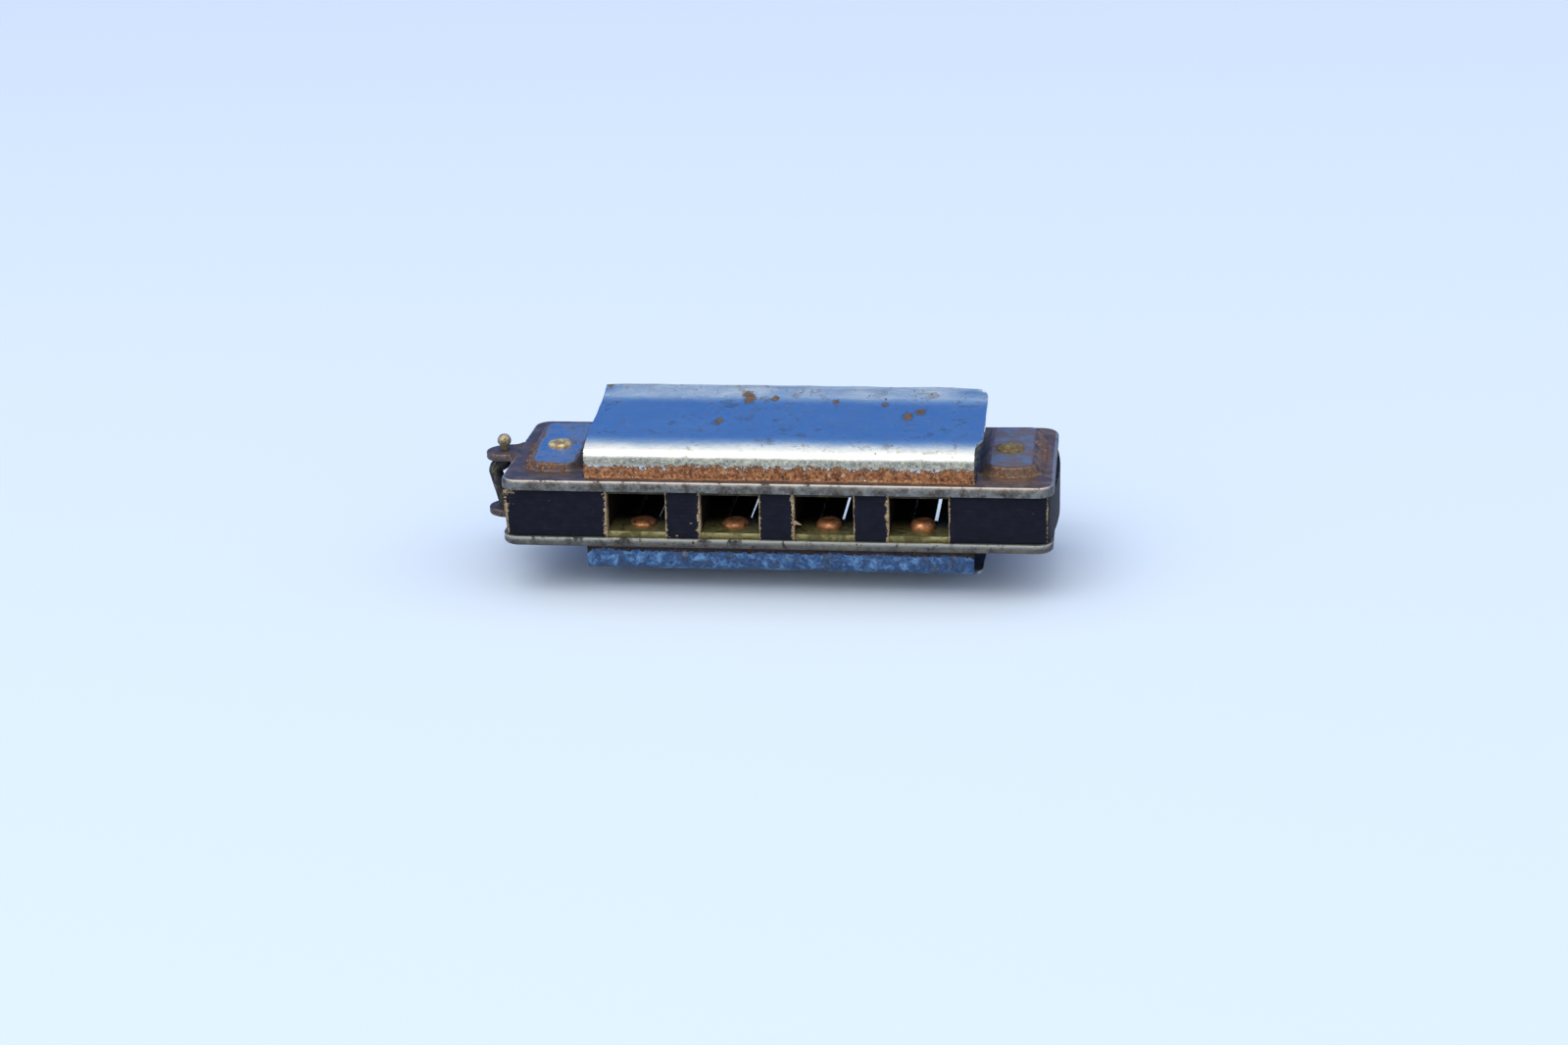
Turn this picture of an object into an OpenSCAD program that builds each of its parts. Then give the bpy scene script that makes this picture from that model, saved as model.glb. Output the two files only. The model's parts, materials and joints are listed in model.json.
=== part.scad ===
// Miniature four-hole harmonica: a wooden comb between two brass reed plates, closed by two
// pressed sheet covers that are nailed on at their ends. The lower cover mirrors the upper one,
// and both reed plates carry their reeds on the underside. A bail turns in the lugs at the left end.
// X runs along the instrument, Y from the mouth holes to the back, Z up. Millimetres.

/* [Covers] */
// Length of a cover, without its lug
cover_length = 35; // [33:0.5:38]
// Depth of a cover from front to back
cover_depth = 13; // [12.8:0.1:14]
// Thickness of the cover sheet
sheet = 0.25; // [0.15:0.05:0.3]
// Height of the turned-down rim, outside
rim_height = 0.63; // [0.5:0.01:0.8]
// Corner radius of a cover seen from above
corner_radius = 1.1; // [0.8:0.1:1.5]
// Half of the thickness across both covers at their flat ends
flange_half = 2.18; // [2.1:0.01:2.4]

/* [Arch of a cover] */
// Width of the raised middle part
arch_width = 24.7; // [24:0.1:25]
// Sideways offset of the raised part from the middle of the cover
arch_offset = 0.18; // [0:0.01:0.2]
// Distance from the front of the cover to the arch's front wall
wall_inset = 1.0; // [0.9:0.05:1.2]
// Straight height of the front wall between its two bends
wall_rise = 1.185; // [0.8:0.005:1.6]
// Radius of the shoulder, at the middle of the sheet
shoulder_radius = 0.7; // [0.5:0.05:1]
// How far the roof's right end spreads past the end of the front wall
roof_flare = 0.42; // [0:0.02:0.5]
// Length of the flat roof
roof_length = 6.0; // [5.5:0.1:6.5]
// Slope of the roof, rising to the back
roof_slope = 6.2; // [2:0.1:9]
// Length of the flared lip behind the roof
lip_length = 1.35; // [1:0.05:2]
// Slope of the flared lip
lip_slope = 18; // [12:0.1:25]

/* [Pads of a cover] */
// Distance of a pad's middle from the middle of the cover
pad_x = 14.82; // [14.7:0.01:14.9]
// Width of a pad's flat top
pad_width = 3.0; // [2.6:0.1:3.1]
// Depth of a pad's flat top
pad_depth = 8.7; // [8:0.1:8.9]
// Height of a pad above the flat end
pad_rise = 0.65; // [0.4:0.05:0.8]
// Distance of a cover nail from the middle of the cover
nail_x = 14.62; // [14.5:0.01:14.7]
// Distance of a cover nail from the front
nail_y = 6.1; // [5:0.1:8]

/* [Lug and bail] */
// Thickness of the lug, which is the sheet folded on itself
lug_thickness = 0.5; // [0.4:0.05:0.6]
// Radius of the lug's round end
lug_radius = 1.2; // [1:0.05:1.3]
// Distance of the bail's pin line from the middle of the cover
bail_x = 18.42; // [18.4:0.01:18.6]
// Diameter of the bail's wire between the lugs
bail_wire = 0.8; // [0.6:0.05:0.8]
// Diameter of the bail's necks inside the lugs
bail_neck = 0.5; // [0.4:0.05:0.5]
// Diameter of the ball on top of the bail
bail_ball = 0.88; // [0.8:0.02:1]

/* [Comb] */
// Distance between two mouth holes, middle to middle
hole_pitch = 5.97; // [5.9:0.01:6]
// Width of a mouth hole
hole_width = 3.75; // [3.4:0.05:3.8]
// Sideways offset of the row of holes
hole_offset = 0.14; // [0:0.01:0.2]
// Distance of a chamber's back wall from the front of the covers
chamber_back = 10.9; // [10.6:0.1:11]
// How far the bare ends of the comb bulge past the rims
end_bulge = 0.25; // [0.1:0.05:0.3]

/* [Reeds] */
// Thickness of a reed plate
plate_thickness = 0.68; // [0.6:0.01:0.75]
// Length of the longest slot, in the first hole
slot_length = 7.0; // [6.3:0.05:7.1]
// How much shorter each next slot is
slot_step = 0.05; // [0:0.01:0.2]
// Width of a slot
slot_width = 1.72; // [1.6:0.02:2]
// Width of a reed's tongue
tongue_width = 1.4; // [1.2:0.05:1.4]
// Thickness of a reed at its root and tip
reed_thickness = 0.12; // [0.1:0.01:0.14]
// Diameter of a rivet's domed head
rivet_head = 1.75; // [1.5:0.05:1.8]

/* [Hidden] */
$fn = 48;

hole_count = 4;
wood_half = flange_half - sheet;             // the comb's half height, under the flat ends
comb_gap = 0.03;                             // play between the comb and a rim
comb_length = cover_length - 2 * (sheet + comb_gap);
comb_depth = cover_depth - 2 * (sheet + comb_gap);
comb_front = sheet + comb_gap;
comb_corner = 0.35;
bare_half = flange_half - rim_height - 0.05; // half height of the wood between the two rims

mid_depth = cover_depth / 2;
foot_radius = 0.2;                           // bend from the flat end into the front wall
lip_radius = 5;                              // bend from the roof into the lip
shoulder_end = [3, 10];                      // radius and angle of the shoulder's soft end
slit = 0.12;                                 // clearance cut beside the arch's sheared ends
rim_round = 0.22;                            // outer rounding of the rim's top edge
pad_corner = 0.8;                            // corner radius of a pad's flat top
pad_y = mid_depth + 0.05;                    // middle of a pad
pad_edge = 0.18;                             // rounding at a pad's upper edge
pad_skirt = 0.4;                             // how far a pad's wall spreads to its foot

nail_head = [0.84, 0.3];                     // radius and height of a cover nail's head
nail_shank = [0.4, 2.55];                    // radius and length of a cover nail's shank
pin_head = [0.5, 0.15];
pin_shank = [0.28, 1.75];
fit = 0.01;                                  // play around nails, pins and rivets
lug_play = 0.06;                             // running play of the bail in its lugs
button = [0.4, 0.22];                        // radius and height of the bail's peened lower end

plate_front = 0.5;
plate_back = 12.1;
plate_length = 26.2;
slot_front = 3.6;
rivet_y = 2.2;
reed_shift = 0.14;                           // offset of a heel and its slot from the hole's middle
heel_front = 1.25;
heel_width = 2.1;
heel_thickness = 0.15;
reed_set = 0.05;                             // how far a tongue stands off its plate
tip_gap = 0.12;
rivet_dome = 0.45;                           // height of a rivet's domed head
rivet_shank = 0.35;
rivet_tail = [0.55, 0.18];                   // radius and height of a rivet's set end

// Steps of the cover's sheet from the front strip over the arch to the lip, at mid thickness:
// ["go", length] is straight and ["turn", radius, angle] is a bend, left when positive.
strip_end = wall_inset + sheet / 2 - foot_radius;
arch_steps = [["turn", foot_radius, 90],
              ["go", wall_rise],
              ["turn", shoulder_radius, roof_slope + shoulder_end[1] - 90],
              ["turn", shoulder_end[0], -shoulder_end[1]],
              ["go", roof_length],
              ["turn", lip_radius, lip_slope - roof_slope],
              ["go", lip_length]];
lip_end = run_end(arch_steps, [strip_end, flange_half - sheet / 2, 0]);
half_height = lip_end[1] + sheet / 2 * cos(lip_slope);

// The bail's wire from below the upper lug down to the lower one: a tight kink outwards, then a
// straight leaning stretch back to the pin line. The lean closes the bow at the lower lug.
kink_radius = 0.45;
kink_turn = 75;
lean = 18;
settle_radius = 0.6;
bow_reach = kink_radius * (1 - 2 * cos(kink_turn) + cos(lean));
bow_drop = kink_radius * (2 * sin(kink_turn) + sin(lean));
lean_length = (bow_reach - settle_radius * (1 - cos(lean))) / sin(lean);
shank_half = flange_half - lug_thickness - lug_play;
settle_drop = settle_radius * sin(lean);
last_drop = 2 * shank_half - bow_drop - lean_length * cos(lean) - settle_drop;
bail_steps = [["turn", kink_radius, -kink_turn],
              ["turn", kink_radius, kink_turn + lean],
              ["go", lean_length],
              ["turn", settle_radius, -lean],
              ["go", last_drop]];

// The box around the whole instrument is centred over the origin, with its base at Z = 0.
lug_tip = bail_x + lug_radius;
comb_tip = comb_length / 2 + comb_gap + sheet + end_bulge;
seat_x = (lug_tip - comb_tip) / 2;

function hole_x(i) = hole_offset + (i - (hole_count - 1) / 2) * hole_pitch;
function reed_x(i) = hole_x(i) + reed_shift;
function slot_len(i) = slot_length - i * slot_step;

// Where a run of steps ends: [x, y, heading] from the start at p.
function run_end(steps, p, i = 0) =
    i == len(steps) ? p :
    steps[i][0] == "go"
        ? run_end(steps, [p[0] + steps[i][1] * cos(p[2]), p[1] + steps[i][1] * sin(p[2]), p[2]], i + 1)
        : run_end(steps, turn_end(p, steps[i][1], steps[i][2]), i + 1);
function turn_end(p, r, a) =
    let (s = sign(a))
    [p[0] + s * r * (sin(p[2] + a) - sin(p[2])), p[1] - s * r * (cos(p[2] + a) - cos(p[2])), p[2] + a];

// ---------- helpers ----------

module seated() translate([seat_x, -mid_depth, half_height]) children();

// The lower cover, its nails and its lug are the upper ones mirrored in the comb's middle plane.
module below() mirror([0, 0, 1]) children();

module rounded_rect(size, r) {
    translate([-size[0] / 2 + r, -size[1] / 2]) square([size[0] - 2 * r, size[1]]);
    translate([-size[0] / 2, -size[1] / 2 + r]) square([size[0], size[1] - 2 * r]);
    for (x = [-1, 1], y = [-1, 1])
        translate([x * (size[0] / 2 - r), y * (size[1] / 2 - r)]) circle(r);
}

// Carries a 2D section around a rounded rectangle. The section's x is measured outwards from
// the corner radius's centre line, so x = r lies on the rectangle's outline.
module around(size, r) {
    for (q = [0 : 3])
        let (flip = q % 2 == 1,
             w = (flip ? size[1] : size[0]) / 2 - r,
             d = (flip ? size[0] : size[1]) / 2 - r)
            rotate([0, 0, 90 * q]) {
                translate([w, d, 0]) rotate_extrude(angle = 90) children();
                translate([w, d, 0]) rotate([90, 0, 0]) linear_extrude(2 * d) children();
            }
}

module arc_piece(r, a, w) {
    side = 3 * (r + w);
    intersection() {
        difference() {
            circle(r + w / 2);
            circle(r - w / 2);
        }
        intersection() {
            rotate(-90) square([side, side]);
            rotate(a - 180) square([side, side]);
        }
    }
}

// A strip of constant width that follows the steps, starting along +x.
module strip_run(steps, w, i = 0) {
    if (i < len(steps)) {
        if (steps[i][0] == "go") {
            translate([0, -w / 2]) square([steps[i][1], w]);
            translate([steps[i][1], 0]) strip_run(steps, w, i + 1);
        } else {
            r = steps[i][1];
            a = steps[i][2];
            if (a > 0) {
                translate([0, r]) arc_piece(r, a, w);
                translate([0, r]) rotate(a) translate([0, -r]) strip_run(steps, w, i + 1);
            } else {
                mirror([0, 1]) translate([0, r]) arc_piece(r, -a, w);
                translate([0, -r]) rotate(a) translate([0, r]) strip_run(steps, w, i + 1);
            }
        }
    }
}

// A round wire that follows the steps in the XZ plane, starting along -Z; a left turn bends it
// towards +X.
module wire_run(steps, r, i = 0) {
    if (i < len(steps)) {
        if (steps[i][0] == "go") {
            mirror([0, 0, 1]) cylinder(r = r, h = steps[i][1]);
            translate([0, 0, -steps[i][1]]) wire_run(steps, r, i + 1);
        } else {
            bend = steps[i][1];
            a = steps[i][2];
            s = sign(a);
            translate([s * bend, 0, 0]) rotate([90, 0, 0]) mirror([s > 0 ? 1 : 0, 0, 0])
                mirror([0, 1, 0]) rotate_extrude(angle = abs(a)) translate([bend, 0]) circle(r);
            translate([s * bend, 0, 0]) rotate([0, -a, 0]) translate([-s * bend, 0, 0])
                wire_run(steps, r, i + 1);
        }
    }
}

module dome(r, h) {
    ball = (r * r + h * h) / (2 * h);
    intersection() {
        translate([0, 0, h - ball]) sphere(ball, $fn = 96);
        cylinder(r = r, h = h);
    }
}

// ---------- covers ----------

module rim_section() {
    x = corner_radius;
    z = flange_half;
    difference() {
        union() {
            translate([x - sheet, z - rim_height]) square([sheet, rim_height - rim_round]);
            translate([x - sheet - 0.1, z - sheet]) square([sheet + 0.1 - rim_round, sheet]);
            translate([x - rim_round, z - rim_round]) circle(rim_round);
        }
        translate([x - sheet - 0.2, z - rim_height]) square([0.2, rim_height - sheet]);
    }
}

// The wall of a pad: it leaves the flat end, slopes up and rounds over into the pad's top.
module pad_section() {
    x = pad_corner;
    z = flange_half;
    top = z + pad_rise;
    polygon([[x + pad_skirt, z - sheet],
             [x + pad_skirt, z],
             [x + pad_skirt - 0.12, z + 0.05],
             [x + 0.08, top - pad_edge],
             [x, top - 0.05],
             [x - 0.1, top],
             [x - 0.3, top],
             [x - 0.3, top - sheet],
             [x - 0.2, top - sheet],
             [x + 0.12, z - sheet]]);
}

module end_plate(side) {
    inner = side < 0 ? arch_width / 2 - arch_offset : arch_width / 2 + arch_offset;
    foot = [pad_width + 2 * (pad_skirt - 0.1), pad_depth + 2 * (pad_skirt - 0.1)];
    difference() {
        union() {
            difference() {
                translate([0, mid_depth, flange_half - sheet]) linear_extrude(sheet)
                    rounded_rect([cover_length - 2 * rim_round, cover_depth - 2 * rim_round],
                                 corner_radius - rim_round);
                translate([-side * cover_length + side * (inner + slit), -1, 0])
                    translate([-cover_length, 0, 0]) cube([2 * cover_length, 20, 9]);
                translate([side * pad_x, pad_y, 0]) linear_extrude(9)
                    rounded_rect(foot, pad_corner + pad_skirt - 0.1);
            }
            translate([side * pad_x, pad_y, 0]) {
                around([pad_width, pad_depth], pad_corner) pad_section();
                translate([0, 0, flange_half + pad_rise - sheet]) linear_extrude(sheet)
                    rounded_rect([pad_width - 0.2, pad_depth - 0.2], pad_corner - 0.1);
            }
        }
        translate([side * nail_x, nail_y, 0]) cylinder(r = nail_shank[0] + fit, h = 9);
    }
}

module cover_rim() {
    gap_left = arch_offset - arch_width / 2 - slit;
    gap_width = arch_width + 2 * slit;
    difference() {
        translate([0, mid_depth, 0]) around([cover_length, cover_depth], corner_radius)
            rim_section();
        translate([gap_left, mid_depth, 0]) cube([gap_width, cover_depth, 9]);
    }
    // front strip between the rim and the foot of the arch
    translate([-cover_length / 2 + corner_radius, rim_round, flange_half - sheet])
        cube([cover_length - 2 * corner_radius, strip_end - rim_round, sheet]);
}

module arch() {
    shoulder = flange_half - sheet / 2 + foot_radius + wall_rise + 0.6 * shoulder_radius;
    difference() {
        translate([arch_offset - arch_width / 2, 0, 0]) rotate([90, 0, 90])
            linear_extrude(arch_width + roof_flare)
                translate([strip_end, flange_half - sheet / 2]) strip_run(arch_steps, sheet);
        // only the roof spreads past the end of the front wall
        translate([arch_offset + arch_width / 2, 0, 0]) cube([9, 9, shoulder]);
    }
}

module lug() {
    neck = 0.9;
    fillet = 0.45;
    translate([0, mid_depth, flange_half - lug_thickness]) linear_extrude(lug_thickness)
        difference() {
            union() {
                translate([-bail_x, 0]) circle(lug_radius);
                translate([-bail_x, -lug_radius])
                    square([bail_x - cover_length / 2 + sheet, 2 * lug_radius]);
                for (y = [-1, 1])
                    translate([-cover_length / 2 - fillet, y * (lug_radius + fillet / 2) - fillet / 2])
                        square([fillet + sheet / 2, fillet]);
            }
            for (y = [-1, 1])
                translate([-cover_length / 2 - fillet, y * (lug_radius + fillet)]) circle(fillet);
            translate([-bail_x, 0]) circle(bail_neck / 2 + lug_play);
        }
}

module cover() {
    cover_rim();
    end_plate(-1);
    end_plate(1);
    arch();
    lug();
}

module cover_nails()
    for (side = [-1, 1])
        translate([side * nail_x, nail_y, flange_half + pad_rise]) {
            dome(nail_head[0], nail_head[1]);
            mirror([0, 0, 1]) cylinder(r = nail_shank[0], h = nail_shank[1]);
        }

module upper_cover() color("silver") seated() cover();
module lower_cover() color("silver") seated() below() cover();
module upper_cover_nails() color("darkgoldenrod") seated() cover_nails();
module lower_cover_nails() color("darkgoldenrod") seated() below() cover_nails();

// ---------- comb ----------

module comb_blank() {
    translate([0, mid_depth, -wood_half]) linear_extrude(2 * wood_half)
        rounded_rect([comb_length, comb_depth], corner_radius - sheet - comb_gap);
    // its corners are squarer between the two rims
    translate([0, mid_depth, -bare_half]) linear_extrude(2 * bare_half)
        rounded_rect([comb_length, comb_depth], comb_corner);
    // the bare ends between the rims stand proud in a shallow curve
    rise = comb_gap + sheet + end_bulge;
    chord = comb_depth / 2 - comb_corner;
    bow = (chord * chord + rise * rise) / (2 * rise);
    translate([0, mid_depth, -bare_half]) linear_extrude(2 * bare_half)
        for (side = [-1, 1])
            intersection() {
                translate([side * (comb_length / 2 + rise - bow), 0]) circle(bow, $fn = 240);
                translate([side * comb_length / 2 - 1, -chord]) square([2, 2 * chord]);
            }
}

module plate_recess(extra) {
    translate([hole_offset - plate_length / 2 - extra, plate_front - extra, 0])
        cube([plate_length + 2 * extra, plate_back - plate_front + 2 * extra, plate_thickness + 1]);
}

module pin_places() {
    for (i = [0.5, 1.5, 2.5]) translate([hole_x(i), 1.9]) children();
    for (i = [0.5, 2.5]) translate([hole_x(i), (chamber_back + plate_back) / 2]) children();
}

module comb() color("#2a2320") seated() difference() {
    comb_blank();
    for (i = [0 : hole_count - 1])
        translate([hole_x(i) - hole_width / 2, -1, -wood_half - 1])
            cube([hole_width, chamber_back + 1, 2 * wood_half + 2]);
    translate([0, 0, wood_half - plate_thickness]) plate_recess(fit);
    mirror([0, 0, 1]) translate([0, 0, wood_half - plate_thickness]) plate_recess(fit);
    for (z = [0, 1]) mirror([0, 0, z]) {
        for (side = [-1, 1])
            translate([side * nail_x, nail_y, flange_half + pad_rise - nail_shank[1] - 0.05])
                cylinder(r = nail_shank[0] + fit, h = 9);
        pin_places() translate([0, 0, wood_half - pin_shank[1] - 0.05])
            cylinder(r = pin_shank[0] + fit, h = 9);
    }
}

// ---------- reed plates ----------
// Each is drawn with its upper face at Z = 0 and its reeds on the underside.

module reed_plate() difference() {
    translate([hole_offset - plate_length / 2, plate_front, -plate_thickness])
        cube([plate_length, plate_back - plate_front, plate_thickness]);
    for (i = [0 : hole_count - 1]) {
        translate([reed_x(i) - slot_width / 2, slot_front, -9]) cube([slot_width, slot_len(i), 18]);
        translate([reed_x(i), rivet_y, -9]) cylinder(r = rivet_shank + fit, h = 18);
    }
    pin_places() translate([0, 0, -9]) cylinder(r = pin_shank[0] + fit, h = 18);
}

module reed_heels()
    for (i = [0 : hole_count - 1])
        difference() {
            translate([reed_x(i) - heel_width / 2, heel_front, -plate_thickness - heel_thickness])
                cube([heel_width, slot_front - heel_front - 0.02, heel_thickness]);
            translate([reed_x(i), rivet_y, -9]) cylinder(r = rivet_shank + fit, h = 18);
        }

module reed_rivets()
    for (i = [0 : hole_count - 1])
        translate([reed_x(i), rivet_y, 0]) {
            dome(rivet_head / 2, rivet_dome);
            translate([0, 0, -plate_thickness - heel_thickness])
                cylinder(r = rivet_shank, h = plate_thickness + heel_thickness);
            translate([0, 0, -plate_thickness - heel_thickness]) mirror([0, 0, 1])
                dome(rivet_tail[0], rivet_tail[1]);
        }

// A tongue runs down the middle of its hole, a little to one side of its slot. It is scraped
// thin along its middle, so that its root and its tip are thicker.
module reed_tongue(i) {
    length = slot_len(i) - tip_gap;
    thin = reed_thickness * 0.3;
    top = -plate_thickness - reed_set;
    translate([hole_x(i) - tongue_width / 2, slot_front, top]) rotate([90, 0, 90])
        linear_extrude(tongue_width)
            polygon([[0, 0], [length, 0], [length, -reed_thickness],
                     [length * 0.8, -reed_thickness], [length * 0.7, -reed_thickness + thin],
                     [length * 0.3, -reed_thickness + thin], [length * 0.15, -reed_thickness],
                     [0, -reed_thickness]]);
}

module plate_pins() pin_places() {
    dome(pin_head[0], pin_head[1]);
    mirror([0, 0, 1]) cylinder(r = pin_shank[0], h = pin_shank[1]);
}

module on_blow_plate() seated() translate([0, 0, wood_half]) children();
module on_draw_plate() seated() translate([0, 0, plate_thickness - wood_half]) children();

module blow_reed_plate() color("goldenrod") on_blow_plate() reed_plate();
module draw_reed_plate() color("goldenrod") on_draw_plate() reed_plate();
module blow_plate_pins() color("peru") on_blow_plate() plate_pins();
module draw_plate_pins() color("peru") seated() below() translate([0, 0, wood_half]) plate_pins();
module blow_reed_heels() color("gold") on_blow_plate() reed_heels();
module draw_reed_heels() color("gold") on_draw_plate() reed_heels();
module blow_reed_rivets() color("sienna") on_blow_plate() reed_rivets();
module draw_reed_rivets() color("sienna") on_draw_plate() reed_rivets();
module blow_reed(i) color("khaki") on_blow_plate() reed_tongue(i);
module draw_reed(i) color("khaki") on_draw_plate() reed_tongue(i);

// ---------- bail ----------

module bail() color("olive") seated() translate([-bail_x, mid_depth, 0]) {
    ball_z = flange_half + lug_play + 0.08 + bail_ball / 2;
    translate([0, 0, ball_z]) sphere(bail_ball / 2);
    translate([0, 0, shank_half]) cylinder(r = bail_neck / 2, h = ball_z - shank_half);
    translate([0, 0, shank_half]) wire_run(bail_steps, bail_wire / 2);
    translate([0, 0, -flange_half - lug_play])
        cylinder(r = bail_neck / 2, h = flange_half + lug_play - shank_half);
    translate([0, 0, -flange_half - lug_play]) mirror([0, 0, 1]) dome(button[0], button[1]);
}

comb();
upper_cover();
lower_cover();
upper_cover_nails();
lower_cover_nails();
blow_reed_plate();
draw_reed_plate();
blow_plate_pins();
draw_plate_pins();
blow_reed_heels();
draw_reed_heels();
blow_reed_rivets();
draw_reed_rivets();
blow_reed(0);  // blow_reed_1
blow_reed(1);  // blow_reed_2
blow_reed(2);  // blow_reed_3
blow_reed(3);  // blow_reed_4
draw_reed(0);  // draw_reed_1
draw_reed(1);  // draw_reed_2
draw_reed(2);  // draw_reed_3
draw_reed(3);  // draw_reed_4
bail();
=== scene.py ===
"""The looks of a miniature four-hole harmonica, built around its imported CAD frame.

Shapes are worked out in millimetres from three planes: X from the middle of the covers, Y from
their front edge and Z from the comb's middle plane. make_object() carries them into the frame.
"""

import json
from math import copysign, cos, exp, hypot, pi, radians, sin, tau

import bpy
from mathutils import Matrix, Vector, noise


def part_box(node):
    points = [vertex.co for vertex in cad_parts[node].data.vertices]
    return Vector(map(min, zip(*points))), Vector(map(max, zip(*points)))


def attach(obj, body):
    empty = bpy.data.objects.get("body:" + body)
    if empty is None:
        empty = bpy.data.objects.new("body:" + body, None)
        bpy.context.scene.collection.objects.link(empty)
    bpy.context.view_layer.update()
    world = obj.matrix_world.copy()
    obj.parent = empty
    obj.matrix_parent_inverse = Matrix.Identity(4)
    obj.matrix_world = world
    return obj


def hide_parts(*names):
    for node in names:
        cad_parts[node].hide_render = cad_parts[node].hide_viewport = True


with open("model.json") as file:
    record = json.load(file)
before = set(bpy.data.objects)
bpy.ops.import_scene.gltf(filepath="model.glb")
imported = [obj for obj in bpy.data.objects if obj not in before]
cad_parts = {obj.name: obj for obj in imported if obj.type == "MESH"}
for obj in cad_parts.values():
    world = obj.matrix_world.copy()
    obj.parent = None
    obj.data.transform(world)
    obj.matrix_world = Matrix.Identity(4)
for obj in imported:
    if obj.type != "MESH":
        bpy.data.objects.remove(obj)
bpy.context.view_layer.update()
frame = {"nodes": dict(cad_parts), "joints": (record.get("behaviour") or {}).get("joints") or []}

# ---------- sizes, in millimetres ----------
MM = 0.001
comb_low, comb_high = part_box("comb")
cover_low, cover_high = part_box("upper_cover")
plate_low, plate_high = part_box("blow_reed_plate")
nails_low, nails_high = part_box("upper_cover_nails")
ORIGIN = Vector(((comb_low.x + comb_high.x) / 2, cover_low.y, (comb_low.z + comb_high.z) / 2))
FRAME_X, FRAME_Y = ORIGIN.x / MM, ORIGIN.y / MM
X, Y, Z = 0, 1, 2


def mm(corner, axis):
    """One coordinate of a corner of a CAD node's box, from its plane."""
    return (corner[axis] - ORIGIN[axis]) / MM


SHEET = 0.25  # thickness of the cover sheet
HALF_LENGTH = mm(cover_high, X)  # half of a cover, without its lug
DEPTH = (cover_high.y - cover_low.y) / MM
WOOD_HALF = mm(plate_high, Z)  # half of the comb with its two plates
FLANGE = WOOD_HALF + SHEET  # height of a cover's flat ends
CORNER = 1.1  # corner radius of a cover
RIM = 0.63  # height of the turned-down rim
RIM_ROUND = 0.22
RIM_INSET = 0.3  # where the flat begins inside the rim

ARCH_WIDTH = 24.7
ARCH_OFFSET = 0.18
ARCH_LEFT = ARCH_OFFSET - ARCH_WIDTH / 2
ARCH_RIGHT = ARCH_OFFSET + ARCH_WIDTH / 2
SLIT = 0.12  # gap beside each sheared end of the arch
FLARE = 0.46  # how far the roof spreads to the right
STRIP_END = 0.925  # where the front strip bends upwards
FLAT_STEPS = (RIM_INSET, 0.45, 0.6, 0.76, STRIP_END)  # rows of the front strip
# the arch's section at mid thickness: (length, 0, steps) of each straight run, and
# (radius, degrees, steps) of each bend
ARCH_RUN = ((0.2, 90, 5), (1.157, 0, 8), (0.5, -63.8, 12), (4.5, -20, 10), (5.234, 0, 14),
            (5.0, 11.8, 7), (1.35, 0, 5))

PAD_X = 14.82
PAD_Y = DEPTH / 2 + 0.05
PAD_SIZE = (3.0, 8.7)
PAD_CORNER = 0.62
PAD_RISE = 0.65
PAD_FOOT = 0.4  # how far a pad's wall spreads at its foot
PAD_SINK = 0.12  # the left pads are pressed a little lower
PAD_FILM = {-1: 0.42, 1: 0.68}  # tarnish on the left and right pads
PAD_EDGE_STAIN = 0.26
PAD_COUNTS = (10, 10, 26, 10) * 2  # stations on each side and corner of a pad
RIM_STATIONS = sum(PAD_COUNTS[:5])  # the first of them that lie beside a rim
# a pad's section: distance outside its edge, and height over the flat end
PAD_SECTION = ((PAD_FOOT, 0), (0.34, 0.012), (0.285, 0.06), (0.235, 0.15), (0.175, 0.29),
               (0.115, 0.43), (0.07, 0.53), (0.01, 0.6), (-0.07, 0.635), (-0.17, PAD_RISE))

NAIL_RADIUS = 0.84
NAIL_X = (nails_high.x - nails_low.x) / MM / 2 - NAIL_RADIUS
NAIL_Y = ((nails_low.y + nails_high.y) / 2 - ORIGIN.y) / MM
NAIL_HEAD = 0.28

REED_SHIFT = 0.14  # a rivet's offset in its hole
REED_LIFT = 0.15  # how far a tongue rises into its slot
HOLE = 3.75 / 2  # half the width of a mouth hole
CHAMBER_BACK = 10.9
reed_boxes = [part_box(f"blow_reed_{i}") for i in (1, 2, 3, 4)]
HOLE_XS = [((low.x + high.x) / 2 - ORIGIN.x) / MM for low, high in reed_boxes]
RIVET_Y = 2.2
RIVET_SIZES = ((0.88, 0.3), (0.86, 0.38), (0.84, 0.5), (0.81, 0.56))  # radius and height
PLATE = 0.68  # thickness of a reed plate
PLATE_X = (mm(plate_low, X), mm(plate_high, X))
PLATE_Y = (mm(plate_low, Y), mm(plate_high, Y))

PLAY = 0.03  # room between the comb and the covers
COMB_X = HALF_LENGTH - SHEET - PLAY  # the comb's end inside the rims
COMB_TIP = mm(comb_high, X)  # the bulge of the bare ends
COMB_Y = (SHEET + PLAY, DEPTH - SHEET - PLAY)
COMB_BARE = FLANGE - RIM - 0.05  # half height between the two rims
COMB_CORNER = 0.35  # radius of the bare ends' corners
CHAMBER = WOOD_HALF - PLATE  # half height between the two plates

swing = next(j for j in frame["joints"] if j["name"] == "bail_swing")
BAIL_X = (swing["pos_m"][0] - ORIGIN.x) / MM
BAIL_WIRE, BAIL_NECK, BAIL_BALL, BAIL_TAPER = 0.46, 0.25, 0.44, 0.33  # radii
KINK, KINK_TURN, LEAN, SETTLE = 0.45, 75, 15.5, 0.6  # the bends that the bail makes
LUG = 0.5  # thickness of a lug
LUG_RADIUS, LUG_FILLET, LUG_HOLE, LUG_ROUND = 1.2, 0.45, 0.3, 0.12
LUG_PLAY = 0.09

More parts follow.
